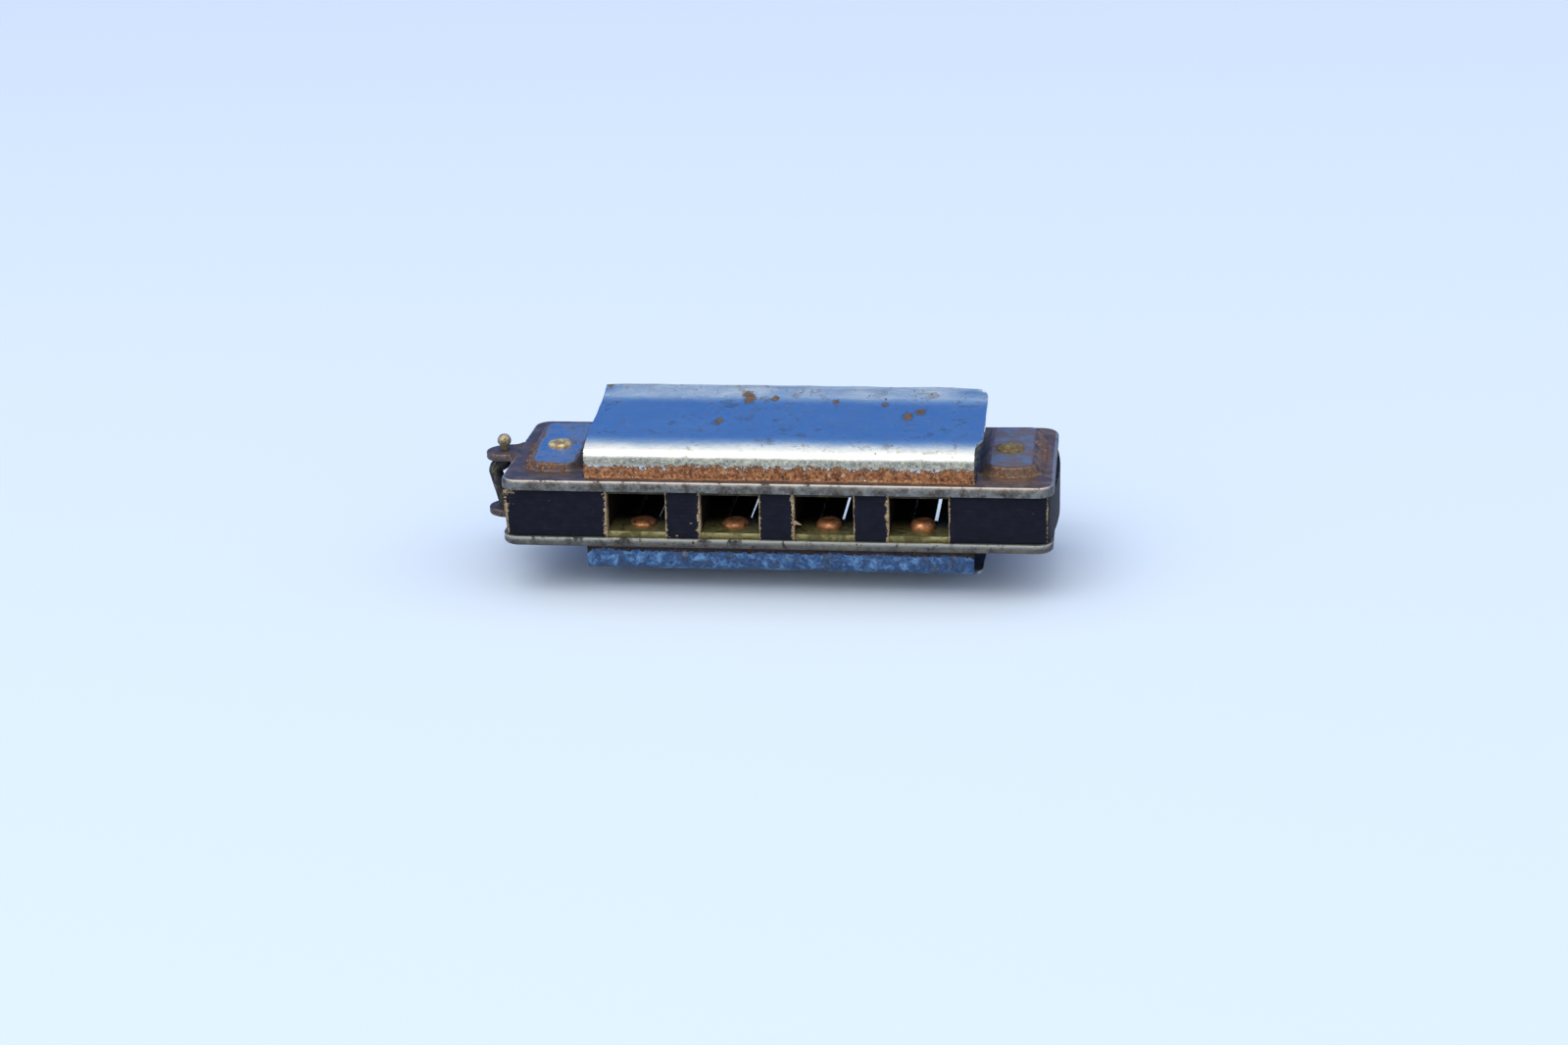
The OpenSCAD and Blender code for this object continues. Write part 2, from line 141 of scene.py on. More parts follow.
NEAR = 0.001  # slack when two places are compared


# ---------- meshes ----------

def wave(x, y, z, seed):
    """Smooth noise between about -1 and 1, one hump a unit."""
    return noise.noise(Vector((x + 17.3 * seed, y - 5.1 * seed, z + 9.7 * seed)))


def smooth(t):
    t = min(1.0, max(0.0, t))
    return t * t * (3 - 2 * t)


def peak(value, at, width):
    """1 where value is at the given place, and falling away on both sides."""
    return exp(-((value - at) / width) ** 2)


def run(start, end, count):
    """The first count places of count equal steps from start to end."""
    return [start + (end - start) * k / count for k in range(count)]


def arc(x, y, radius, start, turn, count):
    """Points on an arc about (x, y), from start on and turn degrees round, in count steps."""
    angles = [radians(start + turn * k / count) for k in range(count + 1)]
    return [(x + radius * cos(a), y + radius * sin(a)) for a in angles]


def walk(path, u, v):
    """(u, v, heading) after each step along straight runs (length, 0, steps) and bends
    (radius, degrees, steps), setting off along u."""
    heading, rows = 0.0, []
    for size, turn, count in path:
        for _ in range(count):
            if turn:
                step = radians(turn) / count
                size = copysign(size, turn)
                u += size * (sin(heading + step) - sin(heading))
                v -= size * (cos(heading + step) - cos(heading))
                heading += step
            else:
                u += size / count * cos(heading)
                v += size / count * sin(heading)
            rows.append((u, v, heading))
    return rows


def no_repeats(ring):
    return [v for i, v in enumerate(ring) if v != ring[i - 1]]


def skin(rings):
    """Quads between rings of vertex numbers, or triangles where a ring is one point repeated."""
    return [no_repeats([a[m - 1], a[m], b[m], b[m - 1]])
            for a, b in zip(rings, rings[1:]) for m in [*range(1, len(a)), 0]]


def numbered(first, count, sides):
    """A count of rings of vertex numbers, from the number first on."""
    return [[first + k * sides + m for m in range(sides)] for k in range(count)]


def tube(rings):
    """A skin over rings of vertex numbers, and both its ends."""
    return skin(rings) + [rings[0][::-1], rings[-1]]


def turned_over(faces, flip=True):
    return [f[::-1] for f in faces] if flip else faces


def round_shape(rows, sides, place):
    """Points and faces about rows that begin with their radius; place(k, angle) is a point of
    row k, and the first and last rows are tips of radius 0."""
    points, rings = [], []
    for k, row in enumerate(rows):
        count = sides if row[0] > 1e-6 else 1
        rings.append([len(points) + m for m in range(count)] * (sides // count))
        points += [place(k, tau * m / sides) for m in range(count)]
    return points, skin(rings)


def add_object(name, data):
    obj = bpy.data.objects.new(name, data)
    bpy.context.scene.collection.objects.link(obj)
    return obj


def make_object(name, points, faces, masks, node, sharp, body="body"):
    """A mesh piece that stands for one CAD node. masks is {attribute: a value for each point}."""
    mesh = bpy.data.meshes.new(name)
    mesh.from_pydata([ORIGIN + Vector(p) * MM for p in points], [], faces)
    for key, values in masks.items():
        layer = mesh.attributes.new(key, "FLOAT", "POINT")
        layer.data.foreach_set("value", values)
    mesh.shade_smooth()
    mesh.set_sharp_from_angle(angle=radians(sharp))
    mesh.validate()
    obj = add_object(name, mesh)
    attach(obj, body)
    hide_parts(node)
    return obj


def add_bevel(obj, width, angle=35):
    bevel = obj.modifiers.new("worn_edges", "BEVEL")
    bevel.width = width * MM
    bevel.segments = 2
    bevel.limit_method = "ANGLE"
    bevel.angle_limit = radians(angle)
    bevel.use_clamp_overlap = True


# ---------- covers ----------

# inner marks painted shade: the sheet's inner side and each pad's wall towards the arch
MASKS = ("rust", "tarnish", "worn", "rim", "foot", "arch", "pitted", "inner")
BROWNED = 0.95  # tarnish of whatever hands don't rub
FLAT_RUST = 0.24
# rows of the rim from the flat outwards and down: (inset, height) outside and inside
RIM_ROWS = list(zip(arc(RIM_ROUND, -RIM_ROUND, RIM_ROUND, 90, 90, 6), (
    (0.32, -0.25), (0.29, -0.25), (0.27, -0.252), (0.255, -0.262), (0.25, -0.28), (0.25, -0.31),
    (0.25, -0.34))))
RIM_ROWS += [((0, -0.34), (0.25, -0.42)), ((0, -0.46), (0.25, -0.5)), ((0, -RIM), (0.25, -RIM))]


class Sheet:
    """A pressed sheet: each vertex has an outer point, an inner point and its masks."""

    def __init__(self, low):
        self.low = low
        self.outer, self.inner, self.masks, self.faces, self.found = [], [], [], [], {}

    def vertex(self, outside, inside, **masks):
        key = tuple(round(c, 4) for c in outside)
        if key not in self.found:
            self.found[key] = len(self.outer)
            self.outer.append(Vector(outside))
            self.inner.append(Vector(inside))
            self.masks.append([masks.get(name, 0.0) for name in MASKS])
        return self.found[key]

    def flat(self, x, y, rust=None):
        """A vertex of the flat ends or the strip: browned, and rusty towards the arch's foot."""
        under_arch = ARCH_LEFT - 0.5 < x < ARCH_RIGHT + 0.5
        foot = smooth((y - 0.35) / 0.5) if under_arch else 0.0
        return self.vertex((x, y, FLANGE), (x, y, FLANGE - SHEET), foot=foot, tarnish=0.9,
                           rust=FLAT_RUST + 0.5 * foot if rust is None else rust)

    def rim(self, k, x, y=0, out=(0, -1), side=1):
        """A vertex in row k of the rim: rubbed bright where hands touch it, dark on the wall, partly
        tarnish and partly painted shade.
        """
        points = [(side * (x - out[0] * inset), y - out[1] * inset, FLANGE + h)
                  for inset, h in RIM_ROWS[k]]
        rubbed = len(RIM_ROWS) - 1 if self.low else 2
        wall = smooth((k - 3) / 2.5)
        return self.vertex(*points, rust=0.2 + 0.05 * wall, tarnish=BROWNED,
                           worn=0.75 * peak(k, rubbed, 0.75), rim=wall)

    def patch(self, rows, side=1):
        """Quads over rows of vertex numbers, which turn anticlockwise seen from outside, or
        clockwise where side is -1."""
        for a, b in zip(rows, rows[1:]):
            a, b = a[::side], b[::side]
            for i in range(len(a) - 1):
                ring = no_repeats([a[i], a[i + 1], b[i + 1], b[i]])
                if len(ring) > 2:
                    self.faces.append(ring)

    def closed(self):
        """Points, faces and masks of both sides, joined along every free edge."""
        n = len(self.outer)
        used = {edge: True for face in self.faces for edge in zip(face, face[1:] + face[:1])}
        faces = self.faces + [[v + n for v in reversed(f)] for f in self.faces]
        faces += [[b, a, a + n, b + n] for a, b in used if (b, a) not in used]
        masks = {name: [m[i] for m in self.masks] * 2 for i, name in enumerate(MASKS)}
        # the inner side is painted in shade all over
        masks["inner"][n:] = [1.0] * n
        return self.outer + self.inner, faces, masks


def rounded_station(half, corner, seg, t):
    """A point of a rounded rectangle's outline and its outward direction.
    seg 0 is the front, then anticlockwise: corner, right, corner, back, corner, left, corner."""
    w, d = half[0] - corner, half[1] - corner
    centres = ((-w, -d), (w, -d), (w, d), (-w, d))
    start, end = centres[(seg + 1) // 2 % 4], centres[(seg // 2 + 1) % 4]
    angle = radians(90 * (seg // 2 - 1 + t * (seg % 2)))
    out = (cos(angle), sin(angle))
    return [a + (b - a) * t + corner * o for a, b, o in zip(start, end, out)], out


def pad_inner(i):
    """The inner partner of point i of a pad's section, one sheet below it."""
    a = PAD_SECTION[max(i - 1, 0)]
    b = PAD_SECTION[min(i + 1, len(PAD_SECTION) - 1)]
    length = hypot(b[0] - a[0], b[1] - a[1])
    across = ((b[1] - a[1]) / length, (a[0] - b[0]) / length)
    if i in (0, len(PAD_SECTION) - 1):
        across = (0, 1)
    return PAD_SECTION[i][0] - SHEET * across[0], PAD_SECTION[i][1] - SHEET * across[1]


def foot_spread(out):
    """How far a pad's wall spreads on the side that out points to; it leans most to the arch."""
    across = 0.6 if out[0] < 0 else 0.5
    along = 0.16 if out[1] < 0 else 0.3
    return across * out[0] ** 2 + along * out[1] ** 2


def pad_point(side, point):
    """A point of a pad's outline as it was really pressed: bowed at the front, askew at the left."""
    x, y = point
    u, v = x / (PAD_SIZE[0] / 2), y / (PAD_SIZE[1] / 2)
    front = smooth((-v - 0.6) / 0.4)
    if side > 0:
        return PAD_X + x - 0.06 * (1 - u), PAD_Y + y + front * (0.5 * u * u - 0.02)
    x += 0.1 * (u - 1) - (u + 1) / 2 * (0.42 - 0.45 * (v + 1) / 2) - (1 - u) / 2 * 0.2 * (1 - v) / 2
    return PAD_X + x, PAD_Y + y - front * (0.2 - 0.3 * u * u)


def end_outline(inner_x):
    """An end plate's outline: a point and its outward direction for each station of its pad."""
    corner_x = HALF_LENGTH - CORNER
    outline = [((x, 0), (0, -1)) for x in run(inner_x, corner_x, PAD_COUNTS[0])]
    for seg in (1, 2, 3):
        for t in run(0, 1, PAD_COUNTS[seg]):
            (x, y), out = rounded_station((HALF_LENGTH, DEPTH / 2), CORNER, seg, t)
            outline.append(((x, y + DEPTH / 2), out))
    outline += [((x, DEPTH), (0, 1)) for x in run(corner_x, inner_x, PAD_COUNTS[4])]
    # down the cut edge beside the arch, where there is no rim, to the rows of the front strip
    stops = (DEPTH - RIM_INSET, DEPTH - RIM_INSET - 1.3, RIM_INSET + 1.5, STRIP_END)
    steps = (*PAD_COUNTS[5:7], PAD_COUNTS[7] - len(FLAT_STEPS) + 1)
    ys = [y for a, b, count in zip(stops, stops[1:], steps) for y in run(a, b, count)]
    return outline + [((inner_x, y), (0, 0)) for y in ys + list(FLAT_STEPS[:0:-1])]


def end_plate(sheet, side):
    """One flat end of a cover with its pad and rim, side -1 at the left and 1 at the right."""
    inner_x = (ARCH_RIGHT if side > 0 else -ARCH_LEFT) + SLIT
    outline = end_outline(inner_x)
    half_size = (PAD_SIZE[0] / 2, PAD_SIZE[1] / 2)
    pads = [rounded_station(half_size, PAD_CORNER, seg, t)
            for seg, count in enumerate(PAD_COUNTS) for t in run(0, 1, count)]
    pads = [(pad_point(side, point), out) for point, out in pads]

    # the rim has one station more, at the cut back edge
    rim = outline[:RIM_STATIONS] + [((inner_x, DEPTH), (0, 1))]
    rim_rows = [[sheet.rim(k, *edge, out, side) for edge, out in rim]
                for k in range(len(RIM_ROWS))]
    sheet.patch(rim_rows[::-1], side)

    flat_rows, steps = [], 5
    for j in range(steps + 1):
        row = []
        for (pad, out), (edge, normal) in zip(pads, outline):
            foot = [p + o * foot_spread(out) for p, o in zip(pad, out)]
            edge_in = [e - n * RIM_INSET for e, n in zip(edge, normal)]
            x, y = (a + (b - a) * j / steps for a, b in zip(edge_in, foot))
            near_pad = smooth(1 - hypot(x - foot[0], y - foot[1]) / 0.5)
            row.append(sheet.flat(side * x, y, rust=FLAT_RUST + 0.26 * near_pad))
        flat_rows.append(row + row[:1])
    sheet.patch(flat_rows, side)
    # the step from the rim's rounding to the flat, along the rim only
    sheet.patch([rim_rows[0], flat_rows[0][:len(rim)]], side)

    pad_rows = []
    for i, section in enumerate(PAD_SECTION):
        high = smooth((section[1] - 0.6) / 0.05)
        row = []
        for pad, out in pads:
            lean = foot_spread(out) / PAD_FOOT
            points = []
            for away, h in (section, pad_inner(i)):
                away *= lean if away > 0 else 1
                points.append((side * (pad[0] + out[0] * away), pad[1] + out[1] * away, FLANGE + h))
            # painted shade in the gap beside the arch: the pad's wall there gets less rust and the
            # inner mask's dark colour
            gap_shade = max(0.0, -out[0]) * (1 - high)
            row.append(sheet.vertex(
                *points, rust=0.38 + 0.08 * (1 - high) - 0.3 * gap_shade,
                tarnish=BROWNED + (PAD_FILM[side] + PAD_EDGE_STAIN - BROWNED) * high,
                foot=0.3 + 0.2 * (1 - high), inner=0.62 * gap_shade))
        pad_rows.append(row + row[:1])
    sheet.patch(pad_rows, side)

    # the pad's top is stretched between the four sides of its outline
    half = PAD_COUNTS[1] // 2
    nx, ny = PAD_COUNTS[0] + 2 * half, PAD_COUNTS[2] + 2 * half
    loop = pad_rows[-1][:-1]
    loop = loop[-half:] + loop[:-half]
    bottom, right = loop[:nx + 1], loop[nx:nx + ny + 1]
    top = loop[nx + ny:2 * nx + ny + 1][::-1]
    left = (loop[2 * nx + ny:] + loop[:1])[::-1]

    def across(start, end, share):
        return sheet.outer[start].lerp(sheet.outer[end], share)

    grid = [bottom]
    for j in range(1, ny):
        row, v = [left[j]], j / ny
        for i in range(1, nx):
            u = i / nx
            corners = across(bottom[0], bottom[nx], u).lerp(across(top[0], top[nx], u), v)
            p = across(bottom[i], top[i], v) + across(left[j], right[j], u) - corners
            away = hypot(p.x - side * NAIL_X, p.y - NAIL_Y)
            stain = PAD_EDGE_STAIN * smooth(1 - min(u, 1 - u, v * 3, (1 - v) * 3) / 0.1)
            row.append(sheet.vertex(
                tuple(p), (p.x, p.y, p.z - SHEET), rust=0.14 + 0.3 * peak(away, 0.95, 0.25) + stain,
                tarnish=PAD_FILM[side] + stain, foot=0.2))
        grid.append(row + [right[j]])
    sheet.patch(grid + [top], side)


def spread(start, end, step, fine):
    """Places from start to end a step apart, with finer ones close to both ends."""
    inner = [start + f for f in fine] + [end - f for f in reversed(fine)]
    first, last = start + fine[-1], end - fine[-1]
    middle = run(first, last, max(1, round((last - first) / step)))[1:]
    return [start] + sorted(inner + middle) + [end]


def middle_of_cover(sheet):
    """The front strip and the arch over it."""
    arch_xs = spread(ARCH_LEFT, ARCH_RIGHT, 0.3, (0.06, 0.14, 0.26))
    strip_xs = [ARCH_LEFT - SLIT, ARCH_LEFT - SLIT / 2, *arch_xs,
                ARCH_RIGHT + SLIT / 2, ARCH_RIGHT + SLIT]
    rows = [[sheet.rim(k, x) for x in strip_xs] for k in reversed(range(len(RIM_ROWS)))]
    rows += [[sheet.flat(x, y) for x in strip_xs] for y in FLAT_STEPS]
    sheet.patch(rows)

    half = SHEET / 2
    line = [(STRIP_END, -half, 0.0)] + walk(ARCH_RUN, STRIP_END, -half)
    back_lip = line[-1][0] - half * sin(line[-1][2])
    rows = []
    for y_mid, z_mid, heading in line:
        dy, dz = half * sin(heading), half * cos(heading)
        y, z = y_mid - dy, z_mid + dz
        row = []
        for x in arch_xs:
            from_end = min(x - ARCH_LEFT, ARCH_RIGHT - x)
            to_edge = min(from_end, max(0.0, back_lip - y) * 1.3)
            foot = 1 - smooth((z - 0.3) / 0.55 if sheet.low else (z - 0.42) / 0.88)
            at_edge = smooth(1 - to_edge / 0.3) * (1 - foot)
            # on the low cover the front wall's film is a painted reflection and painted shade
            shaded_wall = 1 - smooth((y - 1.5) / 1.2)
            row.append(sheet.vertex(
                (x, y, FLANGE + z), (x, y_mid + dy, FLANGE + (z_mid - dz)),
                rust=0.12 + 0.62 * foot + 0.22 * at_edge, arch=1.0, foot=foot,
                tarnish=0.3 * at_edge + 0.85 * shaded_wall * sheet.low,
                pitted=peak(z, 1.08, 0.38) if y < 2 else 0.0))
        rows.append(row)
    sheet.patch(rows)


def age_arch(x, y, h, seed):
    """How far a point of the arch has moved: small dents, a wavy lip and a spread right end."""
    lift = smooth((h - 0.3) / 1.5)
    back = smooth((y - 9.2) / 1.2)
    middle_out = abs(x - ARCH_OFFSET)
    move = Vector((0, 0.02 * wave(x / 2.5, h, 2, seed), lift * (
        0.035 * wave(x / 5, y / 4, 0, seed) + 0.012 * wave(x / 1.3, y / 1.3, 4, seed))))
    # the right back corner is rounded off
    radius = 0.7
    dx, dy = x - ARCH_RIGHT + radius, y - 9.7
    reach = Vector((max(0, dx), max(0, dy))).length
    if dx > 0 and dy > 0 and reach > radius:
        move.x -= dx * (1 - radius / reach)
        move.y -= dy * (1 - radius / reach)
    move.z += back * (0.045 * wave(x / 2.2, 0, 8, seed) - 0.07 * smooth((middle_out - 10.6) / 1.8))
    spread_out = smooth((y - 1.75) / 1.5) * (1 - 0.25 * back)
    move.x += FLARE * spread_out * smooth((x - ARCH_RIGHT + 1.5) / 1.5)
    move.x += 0.04 * wave(0, y / 1.5, 3, seed) * smooth((middle_out - 11.5) / 0.9) * lift
    return move


def age_end(x, y, h, seed):
    """How far a point of a flat end or of the rim has moved: shallow waves and a bent rim."""
    on_pad = smooth(h / 0.3)
    down = smooth(-h / 0.4)
    sink = PAD_SINK * smooth(h / PAD_RISE) if x < 0 else 0
    move = Vector((0, 0, on_pad * 0.025 * wave(x / 1.6, y / 1.8, 6, seed) - sink))
    rim = smooth(1 - min(y, HALF_LENGTH - abs(x), DEPTH - y) / 0.5)
    out = 0.018 * wave(x / 1.9, y / 1.9, 1, seed) * rim
    if y < 0.7:
        move.y -= out + 0.02 * down
    elif abs(x) > HALF_LENGTH - 0.7:
        move.x += copysign(out, x)
    move.z += 0.012 * wave(x / 2.3, y / 2.3, 5, seed) * (1 - on_pad) * (0.3 + 0.7 * down)
    return move


def use_and_age(p, seed):
    """How far years in a pocket have moved a point of the sheet."""
    h = p.z - FLANGE
    on_arch = ARCH_LEFT - 0.01 < p.x < ARCH_RIGHT + 0.01 and h > 0.02
    return (age_arch if on_arch else age_end)(p.x, p.y, h, seed)


def lug_mesh():
    """The lug as one closed plate with its hole and rounded edges; its free end droops a little."""
    root = -HALF_LENGTH - BAIL_X
    front = arc(root - LUG_FILLET, -LUG_RADIUS - LUG_FILLET, LUG_FILLET, 90, -78, 5)
    half = front[-1][1] - 0.02
    front.append((root + 0.16, half))
    outline = arc(0, 0, LUG_RADIUS, 90, 180, 24) + front
    outline += [(root + 0.16, y) for y in run(half, -half, 12)[1:]]
    outline += [(x, -y) for x, y in reversed(front)]
    # (share of the way from the hole to the outline, height, how much the edge is rounded off)
    rows = [(0.0, 0, 0), (0.33, 0, 0), (0.66, 0, 0), (1.0, 0, LUG_ROUND),
            (1.0, -0.035, LUG_ROUND * 0.3), (1.0, -LUG_ROUND, 0), (1.0, -LUG / 2, 0.02)]
    rows += [(share, -LUG - h, shrink) for share, h, shrink in rows[-2::-1]]
    points = []
    for share, h, shrink in rows:
        for x, y in outline:
            reach = hypot(x, y)
            free = smooth((root - x) / 0.3)
            length = LUG_HOLE + (reach - LUG_HOLE) * share - shrink * free
            droop = 0.05 * smooth((0.6 - x) / 1.5) * share
            points.append(Vector((BAIL_X + x / reach * length, DEPTH / 2 + y / reach * length,
                                  FLANGE + h - droop)))
    rings = numbered(0, len(rows), len(outline))
    return points, turned_over(skin(rings + rings[:1]))


def cover(name, node, seed, flip):
    """A whole cover. flip turns it over about the comb's middle plane."""
    sheet = Sheet(low=flip)
    end_plate(sheet, -1)
    end_plate(sheet, 1)
    middle_of_cover(sheet)
    points, faces, masks = sheet.closed()
    moves = [use_and_age(p, seed) for p in sheet.outer] * 2
    points = [p + m for p, m in zip(points, moves)]
    lug_points, lug_faces = lug_mesh()
    faces += [[v + len(points) for v in f] for f in lug_faces]
    points += lug_points
    lug_masks = {"rust": 0.38, "tarnish": BROWNED}
    for key in masks:
        masks[key] += [lug_masks.get(key, 0.0)] * len(lug_points)
    if flip:
        points = [Vector((p.x, p.y, -p.z)) for p in points]
    obj = make_object(name, points, turned_over(faces, flip), masks, node, 55)
    add_bevel(obj, 0.035, angle=60)
    return obj


# ---------- comb ----------

# splinters beside the holes: X, Z, length, thickness, and the way that each one points
SPLINTERS = ((HOLE_XS[1] + HOLE + 0.02, -0.15, 0.42, 0.13, 1),
             (HOLE_XS[2] - HOLE - 0.02, -0.42, 0.5, 0.14, 1),
             (HOLE_XS[3] - HOLE - 0.02, 0.5, 0.2, 0.1, -1))


def in_hole(x, slack=0.0):
    return any(abs(x - hole) < HOLE + slack for hole in HOLE_XS)


def comb_solid(x, y, z):
    """Whether the comb's wood fills this place, with its rounding left out."""
    if abs(z) > WOOD_HALF or not COMB_Y[0] < y < COMB_Y[1] or abs(x) > COMB_TIP:
        return False
    if abs(x) > COMB_X and (abs(z) > COMB_BARE or not
                            COMB_Y[0] + COMB_CORNER < y < COMB_Y[1] - COMB_CORNER):
        return False
    if in_hole(x) and y < CHAMBER_BACK:
        return False
    in_plate = PLATE_X[0] < x < PLATE_X[1] and PLATE_Y[0] < y < PLATE_Y[1]
    return not (in_plate and abs(z) > CHAMBER)


def lines(stops, step, fine, low, high):
    """Sorted places from low to high: every stop, finer ones beside it, and a step between."""
    marks = {round(low, 4), round(high, 4)}
    for f in (0, *fine, *(-f for f in fine)):
        marks |= {round(s + f, 4) for s in stops if low <= s + f <= high}
    marks = sorted(marks)
    out = []
    for a, b in zip(marks, marks[1:]):
        out += run(a, b, max(1, round((b - a) / step)))
    return out + marks[-1:]


def comb_mesh():
    """The comb cut into small blocks; what shows is every face between wood and air.
    Also gives the way that each point faces, and how many of the 8 blocks round it are wood."""
    hole_sides = [h + s * HOLE for h in HOLE_XS for s in (-1, 1)]
    xs = lines([-COMB_X, COMB_X, *hole_sides, *PLATE_X], 0.4, (0.05, 0.12, 0.22),
               -COMB_TIP, COMB_TIP)
    front = 2.2  # in front of this the blocks are finer
    ys = lines([COMB_Y[0]], 0.4, (0.05, 0.12), COMB_Y[0], front)
    ys += lines([CHAMBER_BACK, PLATE_Y[1], COMB_Y[1] - COMB_CORNER], 1.1, (0.08,), front,
                COMB_Y[1])
    ys = sorted({round(y, 4) for y in [*ys, PLATE_Y[0], COMB_Y[0] + COMB_CORNER]})
    zs = lines([-WOOD_HALF, -COMB_BARE, -CHAMBER, CHAMBER, COMB_BARE, WOOD_HALF], 0.17, (0.05,),
               -WOOD_HALF, WOOD_HALF)
    mid_x, mid_y, mid_z = ([(a + b) / 2 for a, b in zip(s, s[1:])] for s in (xs, ys, zs))
    solid = {(i, j, k) for i, x in enumerate(mid_x) for j, y in enumerate(mid_y)
             for k, z in enumerate(mid_z) if comb_solid(x, y, z)}
    numbers, facing, faces = {}, [], []

    def corner(key, d, s):
        if key not in numbers:
            numbers[key] = len(numbers)
            facing.append(Vector((0, 0, 0)))
        facing[numbers[key]][d] = facing[numbers[key]][d] or s
        return numbers[key]

    for block in sorted(solid):
        for d in range(3):
            u, v = (a for a in range(3) if a != d)
            for s in (-1, 1):
                if (*block[:d], block[d] + s, *block[d + 1:]) in solid:
                    continue
                ring = []
                for du, dv in ((0, 0), (1, 0), (1, 1), (0, 1)):
                    c = list(block)
                    c[d] += s > 0
                    c[u] += du
                    c[v] += dv
                    ring.append(corner(tuple(c), d, s))
                faces.append(ring if (s > 0) != (d == 1) else ring[::-1])
    points = [Vector((xs[i], ys[j], zs[k])) for i, j, k in numbers]
    around = [sum((i - a, j - b, k - c) in solid for a in (0, 1) for b in (0, 1) for c in (0, 1))
              for i, j, k in numbers]
    return points, faces, facing, around


def from_edge(x, y, z):
    """How far a point of the comb's painted outside is from an edge of the wood, in mm."""
    front = y < COMB_Y[0] + NEAR
    end = abs(x) > COMB_X - NEAR
    back = y > COMB_Y[1] - NEAR
    if not (front or end or back) or front and in_hole(x, NEAR):
        return 0.0
    reach = [0.12 + abs(COMB_BARE - abs(z))]
    if front:
        # thumbs wear the wood most at the left side of each hole
        reach += [abs(abs(x - hole) - HOLE) * (0.45 if x < hole else 0.9) for hole in HOLE_XS]
    if front or back:
        reach.append((COMB_X - abs(x)) * (0.5 if x < 0 else 0.8))
        if x < 0 < z:
            reach.append(0.15 * hypot(COMB_X + x, COMB_BARE - z))
    if end:
        reach += [y - COMB_Y[0], COMB_Y[1] - y]
    return min(1.0, max(0.0, min(reach)))


def worked_wood(p, facing, around, deep):
    """Where a point of the comb really lies: bowed ends, worn and chipped edges, rough faces."""
    x, y, z = p
    q = p.copy()
    middle_y = DEPTH / 2
    if abs(x) > COMB_X + NEAR:
        chord = middle_y - COMB_Y[0] - COMB_CORNER
        bow = (abs(x) - COMB_X) * max(0.0, 1 - ((y - middle_y) / chord) ** 2)
        q.x = copysign(COMB_X + bow, x)
    elif x < 0.4 - COMB_X and abs(z) < COMB_BARE:
        # the left end leans out towards its top
        q.x -= 0.16 * smooth((0.4 - COMB_X - x) / 0.4) * smooth((z + 1.3) / 2.2)
    # round the upright corners inside the rims, where the sheet is round too
    radius = CORNER - SHEET - PLAY if abs(z) > COMB_BARE + NEAR else COMB_CORNER
    cx, cy = COMB_X - radius, middle_y - COMB_Y[0] - radius
    dx, dy = abs(q.x) - cx, abs(y - middle_y) - cy
    if dx > 0 and dy > 0 and abs(x) <= COMB_X + NEAR:
        reach = max(dx, dy) / hypot(dx, dy)
        q.x = copysign(cx + dx * reach, q.x)
        q.y = middle_y + copysign(cy + dy * reach, y - middle_y)
    if around in (1, 2) and facing.length > 1.1:
        chip = max(0.0, wave(x / 0.5, y / 0.9, z / 0.35, 7)) ** 2 * 0.22
        wear = 0.018 + 0.02 * (1 + wave(x, y, z / 0.6, 8)) + chip
        wear += 0.05 * smooth((-x - COMB_X + 0.6) / 0.5)
        q -= facing.normalized() * min(wear, 0.13) * 1.2
    elif around == 4:
        rough = 0.012 * wave(x / 0.7, y / 0.9, z / 0.22, 9)
        if abs(facing.x) > 0.5 and deep:
            rough += 0.035 * wave(0, y / 1.2, z / 0.3, x)
        q += facing * rough
    return q


def comb_piece():
    points, faces, facing, around = comb_mesh()
    deep = [in_hole(p.x, NEAR) and p.y < CHAMBER_BACK for p in points]
    # inside: painted shade, the hole walls darker deeper in
    masks = {"paint": [from_edge(*p) for p in points],
             "inside": [smooth((p.y - COMB_Y[0]) / 1.5) * d for p, d in zip(points, deep)]}
    points = [worked_wood(*known) for known in zip(points, facing, around, deep)]
    rows, sides = 6, 6
    for x, z, length, thick, way in SPLINTERS:
        rings = numbered(len(points), rows + 1, sides)
        for t in run(0, 1, rows) + [1]:
            for m in range(sides):
                a = tau * m / sides
                r = thick * (1 - t ** 1.5) * (1 + 0.25 * wave(t * 3, m, 0, x)) + 0.004
                points.append(Vector((x + way * length * t, COMB_Y[0] + 0.05 + r * 0.6 * cos(a),
                                      z - 0.16 * t * t + r * sin(a))))
        faces += turned_over(tube(rings), way < 0)
    for values in masks.values():
        values += [0.0] * (len(points) - len(values))
    return make_object("comb_wood", points, faces, masks, "comb", 50)


# ---------- rivets, nails, reeds and bail ----------

def lathe(profile, centre, seed, uneven, flip=False):
    """A closed turned shape from (radius, height) pairs that begin and end on the axis."""
    def place(k, angle):
        r, h = profile[k]
        c, s = cos(angle), sin(angle)
        lump = 1 + uneven * (wave(c * 1.3, s * 1.3, h * 2, seed)
                             + 0.5 * wave(c * 4, s * 4, h * 5, seed))
        tall = h * (1 + 0.8 * uneven * wave(r * c * 1.5, r * s * 1.5, 3, seed))
        return Vector((centre[0] + r * lump * c, centre[1] + r * lump * s,
                       centre[2] + (-tall if flip else tall)))

    points, faces = round_shape(profile, 40, place)
    return points, turned_over(faces, not flip)


def group_of(name, node, parts):
    """One piece from several closed shapes, with each shape's own mask values."""
    points, faces, values = [], [], {}
    for (part_points, part_faces), mask in parts:
        faces += [[v + len(points) for v in f] for f in part_faces]
        points += part_points
        for key, value in mask.items():
            values.setdefault(key, []).extend([value] * len(part_points))
    return make_object(name, points, faces, values, node, 48)


